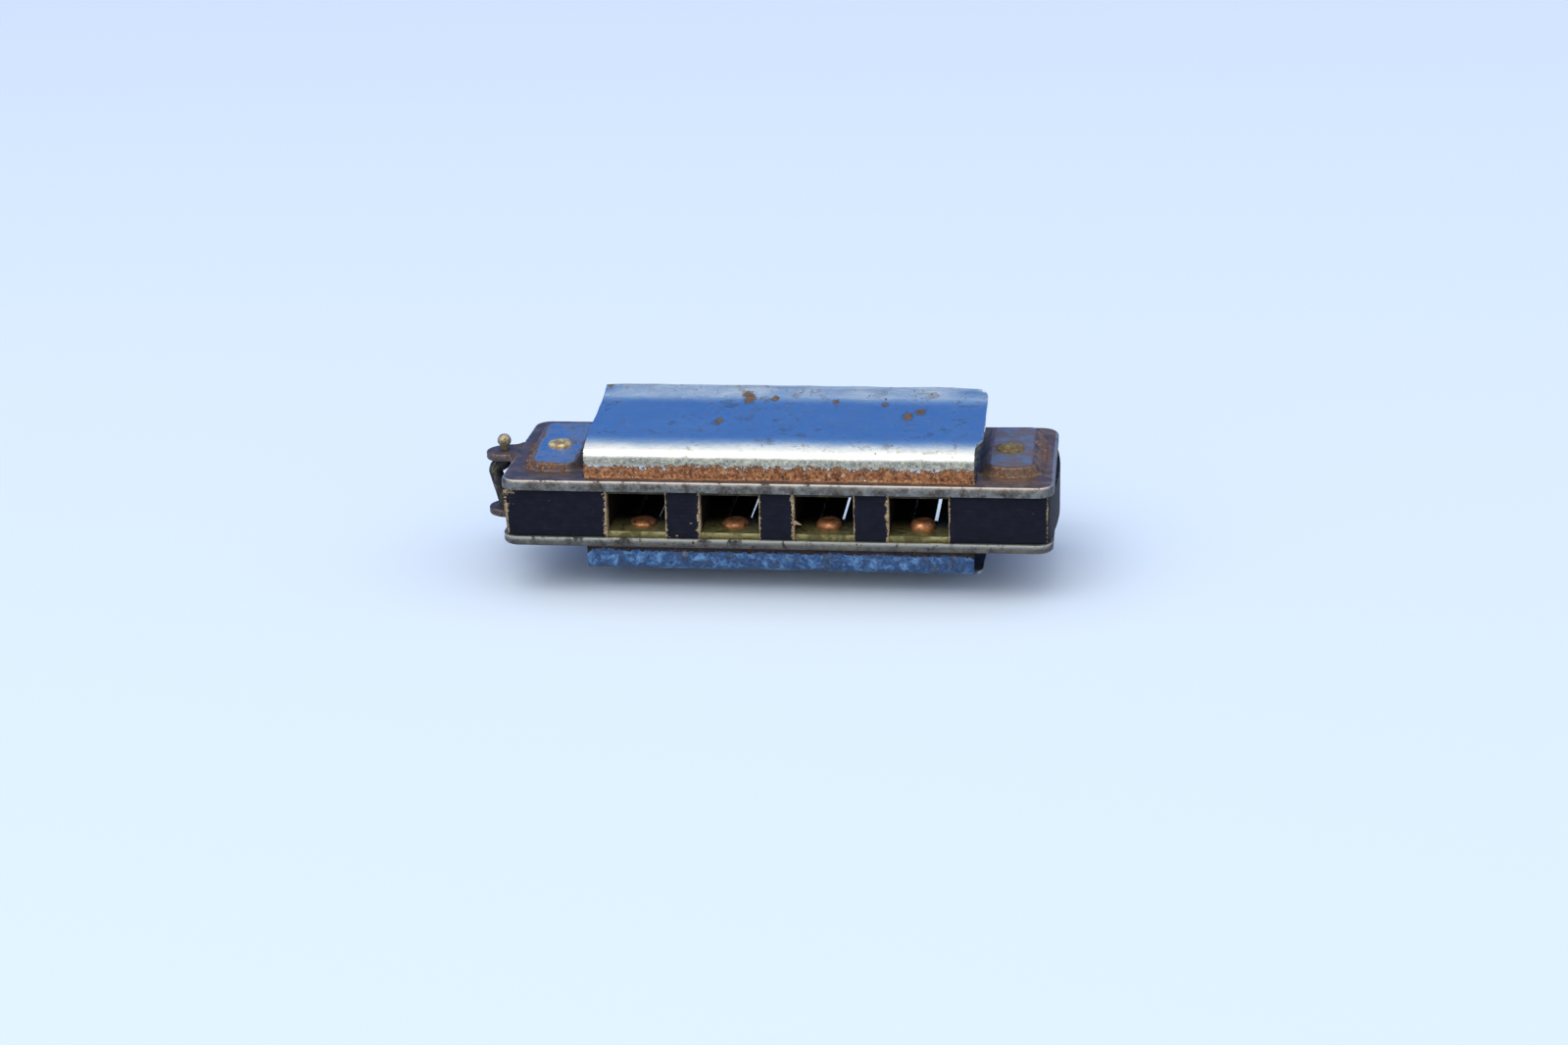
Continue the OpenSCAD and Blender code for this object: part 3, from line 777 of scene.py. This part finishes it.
def rivets(name, node, plate_top, seed):
    """Four rivets: a lumpy head with a dented middle, a shank, and a small set end below."""
    shank, tail, tail_height = 0.35, 0.55, 0.18
    down = -PLATE - 0.15
    head = ((0, 0.8), (0.16, 0.82), (0.32, 0.9), (0.46, 0.98), (0.6, 0.99), (0.74, 0.9),
            (0.86, 0.73), (0.95, 0.5), (1, 0.26), (0.97, 0.0))
    below = [(shank, 0.0), (shank, down), (tail, down)]
    below += [(tail * cos(a), down - tail_height * sin(a))
              for a in (radians(d) for d in (25, 50, 72))] + [(0, down - tail_height)]
    parts = []
    for i, (x, (radius, height)) in enumerate(zip(HOLE_XS, RIVET_SIZES)):
        profile = [(r * radius, h * height) for r, h in head] + below
        centre = (x + REED_SHIFT, RIVET_Y, plate_top)
        parts.append((lathe(profile, centre, seed + i, 0.11), {}))
    return group_of(name, node, parts)


def cover_nails(name, node, seed, flip):
    """The two nails of a cover: a smooth domed head at the left, a corroded lump at the right."""
    parts = []
    # squareness of the dome: at 2 it is round
    for side, radius, uneven, square, corroded in ((-1, 0.8, 0.03, 2.6, 0.1),
                                                   (1, 0.92, 0.15, 2.0, 1.0)):
        top = FLANGE + PAD_RISE - (PAD_SINK if side < 0 else 0)
        profile = [(radius * sin(a), NAIL_HEAD * cos(a) ** (2 / square))
                   for a in run(0, pi / 2, 8) + [pi / 2]]
        profile += [(radius * 0.97, -0.03), (0.4, -0.03), (0.4, -2.1), (0.0, -2.4)]
        centre = (side * NAIL_X, NAIL_Y, -top if flip else top)
        parts.append((lathe(profile, centre, seed + side, uneven, flip), {"corroded": corroded}))
    return group_of(name, node, parts)


def reed_tongue(kind, i):
    """One reed's tongue, set by hand: it rises from its heel until it lies in its slot."""
    body = f"{kind}_reed_{i}"
    low, high = ((corner - ORIGIN) / MM for corner in map(Vector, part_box(body)))
    left, right = low.x, high.x - 0.04
    section = ((left, low.z), (right, low.z), (right, high.z), (left, high.z))
    points, count = [], 24
    for y in run(low.y, high.y, count) + [high.y]:
        up = REED_LIFT * smooth((y - low.y) / 1.6)
        points += [Vector((x, y, z + up)) for x, z in section]
    faces = turned_over(tube(numbered(0, count + 1, len(section))))
    obj = make_object(f"{body}_tongue", points, faces, {}, body, 40, body)
    add_bevel(obj, 0.012)
    return obj


def bail_line():
    """The bail's centreline from its ball down to its peened end, as (radius, X, Z)."""
    shank = FLANGE - LUG - LUG_PLAY
    ball = FLANGE + LUG_PLAY + 0.08 + BAIL_BALL
    rows = [(max(0.0, BAIL_BALL * sin(a)), 0, ball + BAIL_BALL * cos(a))
            for a in (pi * k / 12 * 0.8 for k in range(13))]
    rows += [(BAIL_NECK, 0, shank + 0.3), (BAIL_NECK, 0, shank + 0.06), (BAIL_TAPER, 0, shank)]
    turn, lean = radians(KINK_TURN), radians(LEAN)
    reach = KINK * (1 - 2 * cos(turn) + cos(lean))
    drop = KINK * (2 * sin(turn) + sin(lean))
    length = (reach - SETTLE * (1 - cos(lean))) / sin(lean)
    last = 2 * shank - drop - length * cos(lean) - SETTLE * sin(lean)
    path = ((KINK, -KINK_TURN, 7), (KINK, KINK_TURN + LEAN, 9), (length, 0, 8),
            (SETTLE, -LEAN, 3), (last, 0, 2))
    rows += [(BAIL_WIRE, x, -down) for down, x, _ in walk(path, -shank, 0.0)]
    rows[-1] = (BAIL_TAPER, *rows[-1][1:])
    end = -FLANGE - LUG_PLAY
    return rows + [(BAIL_NECK, 0, -shank - 0.06), (BAIL_NECK, 0, end), (0.36, 0, end - 0.01),
                   (0.4, 0, end - 0.07), (0.3, 0, end - 0.16), (0.0, 0, end - 0.22)]


def bail_piece():
    rows = bail_line()
    depth = Vector((0, 1, 0))

    def place(k, angle):
        radius, x, z = rows[k]
        (_, x0, z0), (_, x1, z1) = rows[max(k - 1, 0)], rows[min(k + 1, len(rows) - 1)]
        across = depth.cross(Vector((x1 - x0, 0, z1 - z0)).normalized())
        rough = 1 if radius in (BAIL_NECK, BAIL_BALL) else 1 + 0.06 * wave(k / 3, 0, z, 3)
        c, s = cos(angle), sin(angle)
        fat = radius * rough * (1 + 0.035 * wave(c, s, k / 4, 5))
        return Vector((BAIL_X + x, DEPTH / 2, z)) + (across * fat * c + depth * fat * s)

    points, faces = round_shape(rows, 24, place)
    rubbed = [smooth((p.z - FLANGE) / 0.3) for p in points]
    return make_object("bail_wire", points, faces, {"rubbed": rubbed}, "bail", 60,
                       "bail")


# ---------- materials ----------

class Nodes:
    """A node tree, built by saying what goes into each node."""

    def __init__(self, tree):
        self.tree = tree
        tree.nodes.clear()

    def put(self, socket, value):
        if isinstance(value, bpy.types.NodeSocket):
            self.tree.links.new(value, socket)
        elif socket.type == "RGBA":
            socket.default_value = (*value, 1)
        else:
            socket.default_value = value

    def node(self, kind, inputs, out=0, **settings):
        """Adds a node and returns one of its outputs, or the node itself if out is None."""
        node = self.tree.nodes.new("ShaderNode" + kind)
        for key, value in settings.items():
            setattr(node, key, value)
        for key, value in inputs.items():
            self.put(node.inputs[key], value)
        return node if out is None else node.outputs[out]

    def ramp(self, value, *stops):
        """Colours along value. Each stop is its place and its red, green and blue."""
        node = self.node("ValToRGB", {0: value}, out=None)
        points = node.color_ramp.elements
        while len(points) < len(stops):
            points.new(0.5)
        for point, (at, *colour) in zip(points, stops):
            point.position = at
            point.color = (*colour, 1)
        return node.outputs[0]


class Finish(Nodes):
    """One material. Lengths in it are millimetres of the frame."""

    def __init__(self, name):
        self.material = bpy.data.materials.new(name)
        self.material.use_nodes = True
        super().__init__(self.material.node_tree)
        self.shader = self.node("BsdfPrincipled", {}, out=None)
        self.output = self.node("OutputMaterial", {"Surface": self.shader.outputs[0]}, out=None)
        place = self.node("TexCoord", {}, "Object")
        self.place = self.node("VectorMath", {0: place, "Scale": 1 / MM}, operation="SCALE")
        self.relief = {}

    def math(self, operation, first, *others):
        for other in others:
            first = self.node("Math", {0: first, 1: other}, operation=operation)
        return first

    def plus(self, *terms):
        return self.math("ADD", *terms)

    def times(self, *factors):
        return self.math("MULTIPLY", *factors)

    def without(self, value):
        return self.math("SUBTRACT", 1.0, value)

    def swing(self, field, size):
        """A noise field moved to swing about 0."""
        return self.times(self.math("SUBTRACT", field, 0.5), size)

    def both(self, a, b, share):
        """A share of a, and the rest of b."""
        return self.plus(self.times(a, share), self.times(b, 1 - share))

    def axis(self, name):
        return self.node("SeparateXYZ", {0: self.place}, name)

    def upward(self):
        """How far the surface faces up: 1 for a top, -1 for an underside."""
        return self.node("SeparateXYZ", {0: self.node("NewGeometry", {}, "True Normal")}, "Z")

    def mask(self, name):
        return self.node("Attribute", {}, "Fac", attribute_name=name)

    def scaled(self, size, stretch):
        factors = tuple(1 / (size * s) for s in stretch)
        return self.node("VectorMath", {0: self.place, 1: factors}, operation="MULTIPLY")

    def noise(self, size, detail, rough, stretch=(1, 1, 1), bend=0.0):
        """Noise whose humps are about size mm wide, longer along a stretched axis."""
        return self.node("TexNoise", {"Vector": self.scaled(size, stretch), "Scale": 1.0,
                                      "Detail": detail, "Roughness": rough,
                                      "Distortion": bend}, "Fac")

    def cells(self, size, stretch):
        """Distance to scattered points about size mm apart."""
        inputs = {"Vector": self.scaled(size, stretch), "Scale": 1.0}
        return self.node("TexVoronoi", inputs, "Distance")

    def spot(self, x, y, radius):
        """1 in the middle of an oval spot seen from above, 0 at its edge."""
        flat = self.node("VectorMath", {0: self.place, 1: (1, 0.6, 0)}, operation="MULTIPLY")
        centre = (FRAME_X + x, 0.6 * (FRAME_Y + y), 0)
        away = self.node("VectorMath", {0: flat, 1: centre}, "Value", operation="DISTANCE")
        return self.without(self.math("DIVIDE", away, radius))

    def step(self, value, low, high):
        """0 below low, 1 above high, smooth between; low may be the higher one."""
        flip = low > high
        ends = {"From Min": min(low, high), "From Max": max(low, high),
                "To Min": float(flip), "To Max": float(not flip)}
        return self.node("MapRange", {"Value": value, **ends}, "Result",
                         interpolation_type="SMOOTHSTEP")

    def between(self, share, a, b):
        return self.node("Mix", {0: share, 2: a, 3: b}, data_type="FLOAT")

    def colour(self, share, a, b, most=None):
        """Colour a, and b over it by share, of which at most a part shows."""
        share = self.times(share, most) if most else share
        return self.node("Mix", {0: share, 6: a, 7: b}, 2, data_type="RGBA")

    def bump(self, height, depth):
        """Relief of depth mm where height goes from 0 to 1, on top of the relief so far."""
        inputs = {"Strength": 1.0, "Distance": depth * MM, "Height": height}
        self.relief = {"Normal": self.node("Bump", {**inputs, **self.relief})}
        self.put(self.shader.inputs["Normal"], self.relief["Normal"])

    def surface(self, colour, metallic, roughness, specular=None):
        self.base = colour
        values = {"Base Color": colour, "Metallic": metallic, "Roughness": roughness}
        if specular:
            values["Specular IOR Level"] = specular
        for key, value in values.items():
            self.put(self.shader.inputs[key], value)


def dark_rust(f, fine):
    return f.ramp(fine, (0.35, 0.01, 0.007, 0.006), (0.6, 0.035, 0.021, 0.015),
                  (0.75, 0.09, 0.05, 0.03))


def foot_rust(f, fine, crust):
    """Bright crumbly rust for the arch's foot, with darker lumps of crust in it."""
    lumps = f.noise(0.42, 3, 0.6)
    rust = f.ramp(fine, (0.3, 0.035, 0.016, 0.01), (0.43, 0.12, 0.047, 0.022),
                  (0.54, 0.27, 0.115, 0.05), (0.65, 0.36, 0.19, 0.095),
                  (0.76, 0.52, 0.36, 0.21))
    rust = f.colour(f.step(lumps, 0.42, 0.3), rust, crust)
    return f.colour(f.step(lumps, 0.6, 0.7), rust, (0.52, 0.38, 0.24), 0.6)


def bare_nickel(f, broad, patchy, grain):
    """Nickel without its film: fine scratches, stained patches and a beige painted reflection along
    the back lip.
    """
    clean = f.ramp(broad, (0.3, 0.57, 0.59, 0.61), (0.7, 0.66, 0.66, 0.65))
    clean = f.colour(f.step(grain, 0.56, 0.7), clean, (0.34, 0.33, 0.3), 0.3)
    clean = f.colour(f.step(patchy, 0.48, 0.62), clean, (0.4, 0.39, 0.37), 0.22)
    for stretch in ((26, 3, 1), (4, 30, 1)):
        line = f.step(f.noise(0.05, 1, 0.4, stretch, 1.2), 0.66, 0.72)
        scratches = f.times(line, f.step(patchy, 0.45, 0.6))
        clean = f.colour(scratches, clean, (0.88, 0.88, 0.86), 0.5)
    stained = f.times(f.step(patchy, 0.52, 0.66), f.step(broad, 0.48, 0.58))
    clean = f.colour(stained, clean, (0.3, 0.23, 0.18), 0.5)
    # painted reflection: a beige streak along the back lip
    on_lip = f.step(f.axis("Y"), FRAME_Y + 9.6, FRAME_Y + 10.0)
    lip_reflection = f.step(f.noise(0.5, 3, 0.6, (7, 0.6, 1)), 0.46, 0.6)
    return f.colour(f.times(on_lip, lip_reflection), clean, (0.5, 0.43, 0.34), 0.55)


def film_on_nickel(f, low, broad, patchy, fine):
    """The film's colours: brown on the flats, warmer at the right, on the arch a blue-grey painted
    reflection and painted shade, and on the rims a steel grey that is partly tarnish and partly
    painted shade.
    """
    brown = f.ramp(patchy, (0.3, 0.048, 0.036, 0.042), (0.52, 0.115, 0.088, 0.088),
                   (0.75, 0.21, 0.16, 0.14))
    warmer = f.ramp(patchy, (0.3, 0.06, 0.034, 0.024), (0.5, 0.17, 0.105, 0.07),
                    (0.75, 0.28, 0.19, 0.13))
    right_end = f.step(f.plus(f.axis("X"), f.swing(broad, 6)), FRAME_X + 9, FRAME_X + 15)
    brown = f.colour(right_end, brown, warmer, 0.8)
    # steel: the rims' film, partly tarnish and partly painted shade
    steel = f.ramp(f.both(patchy, fine, 0.6),
                   (0.36, 0.03, 0.022, 0.018), (0.47, 0.085, 0.083, 0.08),
                   (0.6, 0.14, 0.135, 0.11) if low else (0.6, 0.17, 0.185, 0.19))
    # dull: the arch's film, partly tarnish and mostly a blue-grey painted reflection and painted
    # shade, strongest on the low cover's front wall
    dull = f.ramp(f.both(patchy, fine, 0.7), (0.38, 0.012, 0.024, 0.06),
                  (0.5, 0.045, 0.098, 0.22), (0.62, 0.15, 0.29, 0.5))
    return f.colour(f.mask("rim"), f.colour(f.mask("arch"), brown, dull), steel)


# rust spots that show on the upper arch: X, Y and radius
ROOF_SPOTS = ((-2.5, 8.9, 0.55), (-4.0, 5.3, 0.34), (8.0, 6.4, 0.5), (8.8, 7.1, 0.46),
              (-0.8, 8.9, 0.28), (3.2, 8.6, 0.28), (6.4, 8.2, 0.28), (-11.9, 10.6, 0.4))


def nickel_sheet(name, low):
    """Nickel on steel sheet: bright where it is rubbed, browned on the flats, rusty at bends.
    The low one's front wall carries a blue-grey painted reflection and painted shade, and its rust
    is almost black."""
    f = Finish(name)
    broad = f.noise(3.2, 3, 0.6)
    patchy = f.noise(0.9, 4, 0.62, bend=0.4)
    fine = f.noise(0.2, 4, 0.7)
    grain = f.noise(0.055, 3, 0.75)
    drawn = f.noise(0.05, 2, 0.5, (14, 1, 1))

    # rust where the mask and the noise together say so
    uneven = f.plus(f.swing(patchy, 0.9), f.swing(fine, 1.1))
    rust = f.step(f.plus(f.mask("rust"), uneven, f.swing(broad, 0.3)), 0.47, 0.57)
    # small dark specks anywhere, and a few larger spots
    specks = f.times(f.step(f.noise(0.3, 4, 0.6), 0.645, 0.68), f.step(broad, 0.42, 0.54))
    for x, y, radius in () if low else ROOF_SPOTS:
        spot = f.plus(f.spot(x, y, radius), f.times(uneven, 1.3))
        near = f.step(f.spot(x, y, 1.8 * radius), 0, 0.3)
        specks = f.math("MAXIMUM", specks, f.times(f.step(spot, -0.1, 0.8), near))
    # the film is worn off where the sheet is rubbed
    film = f.step(f.plus(f.mask("tarnish"), f.swing(patchy, 0.9)), 0.25, 0.85)
    worn = f.times(f.mask("worn"), f.step(f.plus(patchy, f.swing(fine, 0.3)), 0.36, 0.48))
    film = f.times(film, f.without(worn))
    rust = f.times(rust, f.without(f.times(worn, 0.9)))
    pitted = f.plus(f.mask("pitted"), f.plus(f.swing(fine, 1.0), f.swing(patchy, 0.5)))
    pitted = f.step(pitted, 0.3, 0.8)
    etched = f.ramp(f.both(fine, grain, 0.5), (0.4, 0.12, 0.125, 0.11),
                    (0.5, 0.34, 0.35, 0.31), (0.6, 0.66, 0.63, 0.49))

    colour = f.colour(pitted, bare_nickel(f, broad, patchy, grain), etched)
    colour = f.colour(film, colour, film_on_nickel(f, low, broad, patchy, fine))
    colour = f.colour(worn, colour, (0.42, 0.39, 0.28) if low else (0.56, 0.55, 0.49), 0.85)
    crust = dark_rust(f, fine)
    if not low:
        brown_crust = f.colour(0.35, crust, (0.21, 0.1, 0.055))
        crust = f.colour(f.mask("foot"), brown_crust, foot_rust(f, fine, crust))
    # a stain is dark before it is dull, so that it has no pale rim
    colour = f.colour(f.step(rust, 0.0, 0.4), colour, crust)
    colour = f.colour(f.step(specks, 0.0, 0.7), colour, f.ramp(
        fine, (0.36, 0.03, 0.02, 0.015), (0.64, 0.15, 0.085, 0.05)))
    covered = f.step(f.math("MAXIMUM", rust, specks), 0.3, 1.0)
    metallic = f.between(covered, f.between(film, 1.0, 0.75), 0.0)
    rough = f.between(film, f.between(patchy, 0.17, 0.32), f.between(fine, 0.36, 0.6))
    rough = f.between(covered, f.between(pitted, rough, 0.5), 0.9)
    # painted shade: the sheet's inner side, and each pad's wall towards the arch, are painted near
    # black
    inner = f.step(f.mask("inner"), 0.4, 0.8)
    painted_shade = f.ramp(patchy, (0.35, 0.01, 0.009, 0.009), (0.65, 0.04, 0.034, 0.03))
    f.surface(f.colour(inner, colour, painted_shade), f.between(inner, metallic, 0.3),
              f.between(inner, rough, 0.8), 0.35)
    f.bump(grain, 0.005)
    f.bump(drawn, 0.003)
    f.bump(broad, 0.04)
    f.bump(f.times(pitted, grain), 0.02)
    f.bump(f.times(rust, f.plus(0.35, fine)), 0.05)
    return f


def painted_wood():
    """Black paint over pale wood, rubbed away at every edge, with the grain along X, and painted
    shade deeper in the holes.
    """
    f = Finish("black_painted_wood")
    grain = f.noise(0.09, 4, 0.6, (16, 3, 1))
    fibre = f.noise(0.035, 3, 0.6, (22, 2, 1))
    patchy = f.noise(0.7, 4, 0.65)
    fine = f.noise(0.12, 4, 0.7)
    wood = f.ramp(grain, (0.3, 0.13, 0.085, 0.048), (0.5, 0.27, 0.2, 0.125),
                  (0.72, 0.44, 0.35, 0.24))
    dark = f.ramp(fine, (0.3, 0.004, 0.003, 0.003), (0.7, 0.02, 0.014, 0.01))
    # painted shade: the bare wood in the holes turns dark deeper in
    wood = f.colour(f.step(f.plus(f.mask("inside"), f.swing(patchy, 0.5)), 0.1, 0.62), wood, dark)
    paint = f.ramp(f.both(grain, patchy, 0.5), (0.35, 0.004, 0.005, 0.01),
                   (0.6, 0.008, 0.009, 0.017), (0.8, 0.018, 0.015, 0.019))
    streaks = f.times(f.step(grain, 0.6, 0.72), f.step(patchy, 0.46, 0.64))
    paint = f.colour(streaks, paint, (0.045, 0.02, 0.014), 0.7)
    flecks = f.times(f.step(f.cells(0.8, (1.6, 1, 1)), 0.09, 0.04), f.step(patchy, 0.5, 0.6))
    edge = f.plus(f.mask("paint"), f.swing(patchy, 0.3), f.swing(fine, 0.3))
    painted = f.times(f.step(edge, 0.05, 0.08), f.without(f.times(flecks, 0.8)))
    f.surface(f.colour(painted, wood, paint), 0.0,
              f.between(painted, 0.85, f.between(grain, 0.42, 0.66)), 0.06)
    f.bump(fibre, 0.012)
    f.bump(grain, 0.02)
    f.bump(painted, 0.02)
    return f


def brass(name, clean, dull, dark, polish, film_low, film_high, film_size=0.8, green=0.0,
          painted_shade=0.0, chamber=0):
    """Brass or copper under a film of tarnish; green adds verdigris in patches, and a painted shade
    turns it near black deeper inside the chambers. chamber is the side of a plate that faces the
    comb's chambers: 1 its top, -1 its underside."""
    f = Finish(name)
    patchy = f.noise(film_size, 4, 0.62, bend=0.3)
    fine = f.noise(0.12, 4, 0.7)
    film = f.step(f.plus(patchy, f.swing(fine, 0.35)), film_low, film_high)
    colour = f.colour(film, clean, f.ramp(fine, (0.35, *dark), (0.65, *dull)))
    if green:
        verdigris = f.step(f.noise(0.45, 3, 0.6), 0.5, 0.66)
        colour = f.colour(verdigris, colour, (0.1, 0.13, 0.055), green)
    if painted_shade:
        # painted shade: near black deeper inside the chambers, fading out towards the mouth holes
        deep = f.step(f.plus(f.axis("Y"), f.times(patchy, 1.6)), FRAME_Y + 2.6, FRAME_Y + 4.6)
        colour = f.colour(deep, colour, (0.006, 0.005, 0.004), painted_shade)
    # only the side facing the chambers keeps the painted shade; the other side shows its own
    # tarnished brass
    if chamber:
        outside = f.step(f.times(f.upward(), -chamber), 0.4, 0.8)
        outward_brass = f.ramp(f.both(patchy, fine, 0.7), (0.36, 0.1, 0.08, 0.04),
                       (0.52, 0.27, 0.22, 0.11), (0.66, 0.46, 0.39, 0.21))
        colour = f.colour(outside, colour, outward_brass)
    f.surface(colour, f.between(film, 1.0, 0.55), f.between(film, polish, 0.62))
    f.bump(f.noise(0.03, 2, 0.5, (1, 12, 1)), 0.003)
    f.bump(fine, 0.012)
    return f


def nail_brass():
    """Tarnished brass, with crusts and verdigris where the mask says corroded."""
    f = brass("tarnished_brass_nail", (0.52, 0.43, 0.25), (0.3, 0.22, 0.1), (0.12, 0.08, 0.04),
              0.55, 0.4, 0.58, film_size=0.5)
    fine = f.noise(0.16, 4, 0.7)
    crust = f.ramp(f.both(fine, f.noise(0.42, 3, 0.6), 0.45),
                   (0.36, 0.035, 0.022, 0.013), (0.45, 0.12, 0.05, 0.02),
                   (0.52, 0.1, 0.095, 0.035), (0.64, 0.2, 0.175, 0.08))
    corroded = f.step(f.plus(f.mask("corroded"), f.swing(f.noise(0.35, 3, 0.6), 1.2)), 0.35, 0.6)
    f.surface(f.colour(corroded, f.base, crust), f.between(corroded, 0.45, 0.15),
              f.between(corroded, 0.5, 0.85))
    f.bump(f.times(fine, corroded), 0.07)
    return f


def bail_brass():
    """Almost black brass, rubbed brighter on the ball."""
    f = brass("dark_bail_brass", (0.14, 0.125, 0.085), (0.024, 0.024, 0.026), (0.009, 0.01, 0.014),
              0.36, 0.32, 0.54, film_size=0.6)
    ball = f.times(f.mask("rubbed"), f.step(f.noise(0.3, 3, 0.6), 0.34, 0.5))
    f.put(f.shader.inputs["Base Color"], f.colour(ball, f.base, (0.42, 0.35, 0.22), 0.68))
    return f


def give(finish, *objects):
    for obj in objects:
        obj.data.materials.clear()
        obj.data.materials.append(finish.material)


nodes = frame["nodes"]
upper_cover = cover("upper_cover_sheet", "upper_cover", 1, False)
lower_cover = cover("lower_cover_sheet", "lower_cover", 2, True)
comb = comb_piece()
blow_rivets = rivets("blow_rivet_heads", "blow_reed_rivets", WOOD_HALF, 11)
draw_rivets = rivets("draw_rivet_heads", "draw_reed_rivets", PLATE - WOOD_HALF, 21)
upper_nails = cover_nails("upper_nail_heads", "upper_cover_nails", 31, False)
lower_nails = cover_nails("lower_nail_heads", "lower_cover_nails", 41, True)
bail = bail_piece()
reeds = [reed_tongue(kind, i) for kind in ("blow", "draw") for i in (1, 2, 3, 4)]

give(nickel_sheet("worn_nickel_sheet", low=False), upper_cover)
give(nickel_sheet("shaded_dull_nickel_sheet", low=True), lower_cover)
give(painted_wood(), comb)
give(brass("tarnished_plate_brass", (0.47, 0.42, 0.2), (0.16, 0.14, 0.05), (0.045, 0.042, 0.018),
           0.36, 0.34, 0.62, green=0.45, painted_shade=0.95, chamber=1), nodes["draw_reed_plate"])
# the blow plate: a darker copy of the plate brass, painted shade for a plate that lies in the shadow
# of the upper cover
give(brass("shade_darkened_plate_brass", (0.1, 0.085, 0.04), (0.03, 0.026, 0.013), (0.01, 0.009, 0.006),
           0.45, 0.2, 0.6, painted_shade=0.95, chamber=-1), nodes["blow_reed_plate"])
give(brass("reed_brass", (0.42, 0.33, 0.15), (0.16, 0.11, 0.05), (0.05, 0.035, 0.018),
           0.35, 0.3, 0.6, painted_shade=0.9, chamber=1),
     *reeds, nodes["blow_reed_heels"], nodes["draw_reed_heels"])
give(brass("copper_rivet", (0.6, 0.27, 0.13), (0.38, 0.16, 0.07), (0.13, 0.062, 0.032),
           0.3, 0.3, 0.6, film_size=0.3), blow_rivets, draw_rivets)
give(nail_brass(), upper_nails, lower_nails)
give(bail_brass(), bail)
give(brass("rusty_steel_pin", (0.34, 0.3, 0.26), (0.14, 0.07, 0.035), (0.05, 0.028, 0.018),
           0.4, 0.36, 0.58, film_size=0.3),
     nodes["blow_plate_pins"], nodes["draw_plate_pins"])


# ---------- floor, light and camera ----------

def floor():
    """A plain pale floor. From below it isn't there, so that the underside can be looked at."""
    mesh = bpy.data.meshes.new("studio_floor")
    reach = 1.5
    mesh.from_pydata([(-reach, -reach, 0), (reach, -reach, 0), (reach, 2 * reach, 0),
                      (-reach, 2 * reach, 0)], [], [[0, 1, 2, 3]])
    f = Finish("plain_floor")
    f.surface((0.5, 0.57, 0.68), 0.0, 0.9)
    f.put(f.output.inputs["Surface"], f.node("MixShader", {
        0: f.node("NewGeometry", {}, "Backfacing"), 1: f.shader.outputs[0],
        2: f.node("BsdfTransparent", {})}))
    mesh.materials.append(f.material)
    add_object("studio_floor", mesh)


def softbox(name, at, size, power, colour):
    """A soft rectangular light that shines at the object."""
    light = bpy.data.lights.new(name, "AREA")
    light.shape = "RECTANGLE"
    light.size, light.size_y = size
    light.energy = power
    light.color = colour
    obj = add_object(name, light)
    obj.location = at
    obj.rotation_euler = (-Vector(at)).to_track_quat("-Z", "Y").to_euler()


def studio_air():
    """Soft light from all round: bright overhead and in front, blue low down at the back."""
    world = bpy.data.worlds.new("studio_air")
    bpy.context.scene.world = world
    world.use_nodes = True
    air = Nodes(world.node_tree)
    parts = air.node("SeparateXYZ", {0: air.node("TexCoord", {}, "Generated")}, out=None)
    # height minus a share of the way back, so that the blue lies low behind the object
    lean = air.node("Math", {0: parts.outputs["Y"], 1: -0.62, 2: parts.outputs["Z"]},
                    operation="MULTIPLY_ADD")
    sky = air.ramp(lean, (0.0, 0.032, 0.13, 0.43), (0.14, 0.05, 0.155, 0.45),
                   (0.28, 0.09, 0.23, 0.51), (0.42, 0.085, 0.25, 0.54),
                   (0.6, 0.8, 0.84, 0.86), (0.72, 1.0, 1.0, 0.96))
    air.node("OutputWorld", {0: air.node("Background", {0: sky, 1: 1.6})}, out=None)


def camera():
    """The photograph's view: 7 degrees round to the right and 19 degrees above."""
    data = bpy.data.cameras.new("camera")
    data.sensor_width = 36
    data.lens = 66.87
    data.clip_start, data.clip_end = 0.001, 20
    obj = add_object("camera", data)
    aim = Vector((0.001588, -0.006523, 0.005316))
    distance, roll = 0.18289, radians(-1.278)
    azimuth, elevation = radians(7.0), radians(18.97)
    back = Vector((sin(azimuth) * cos(elevation), -cos(azimuth) * cos(elevation),
                   sin(elevation)))
    obj.location = aim + back * distance
    turn = (-back).to_track_quat("-Z", "Y").to_matrix().to_4x4()
    obj.rotation_euler = (turn @ Matrix.Rotation(roll, 4, "Z")).to_euler()
    bpy.context.scene.camera = obj


floor()
studio_air()
softbox("key_softbox", (-0.12, -0.3, 0.42), (0.42, 0.34), 1.3, (1, 0.98, 0.94))
softbox("fill_softbox", (0.45, 0.1, 0.3), (0.3, 0.3), 0.3, (0.93, 0.96, 1))
camera()
bpy.context.scene.view_settings.view_transform = "Standard"
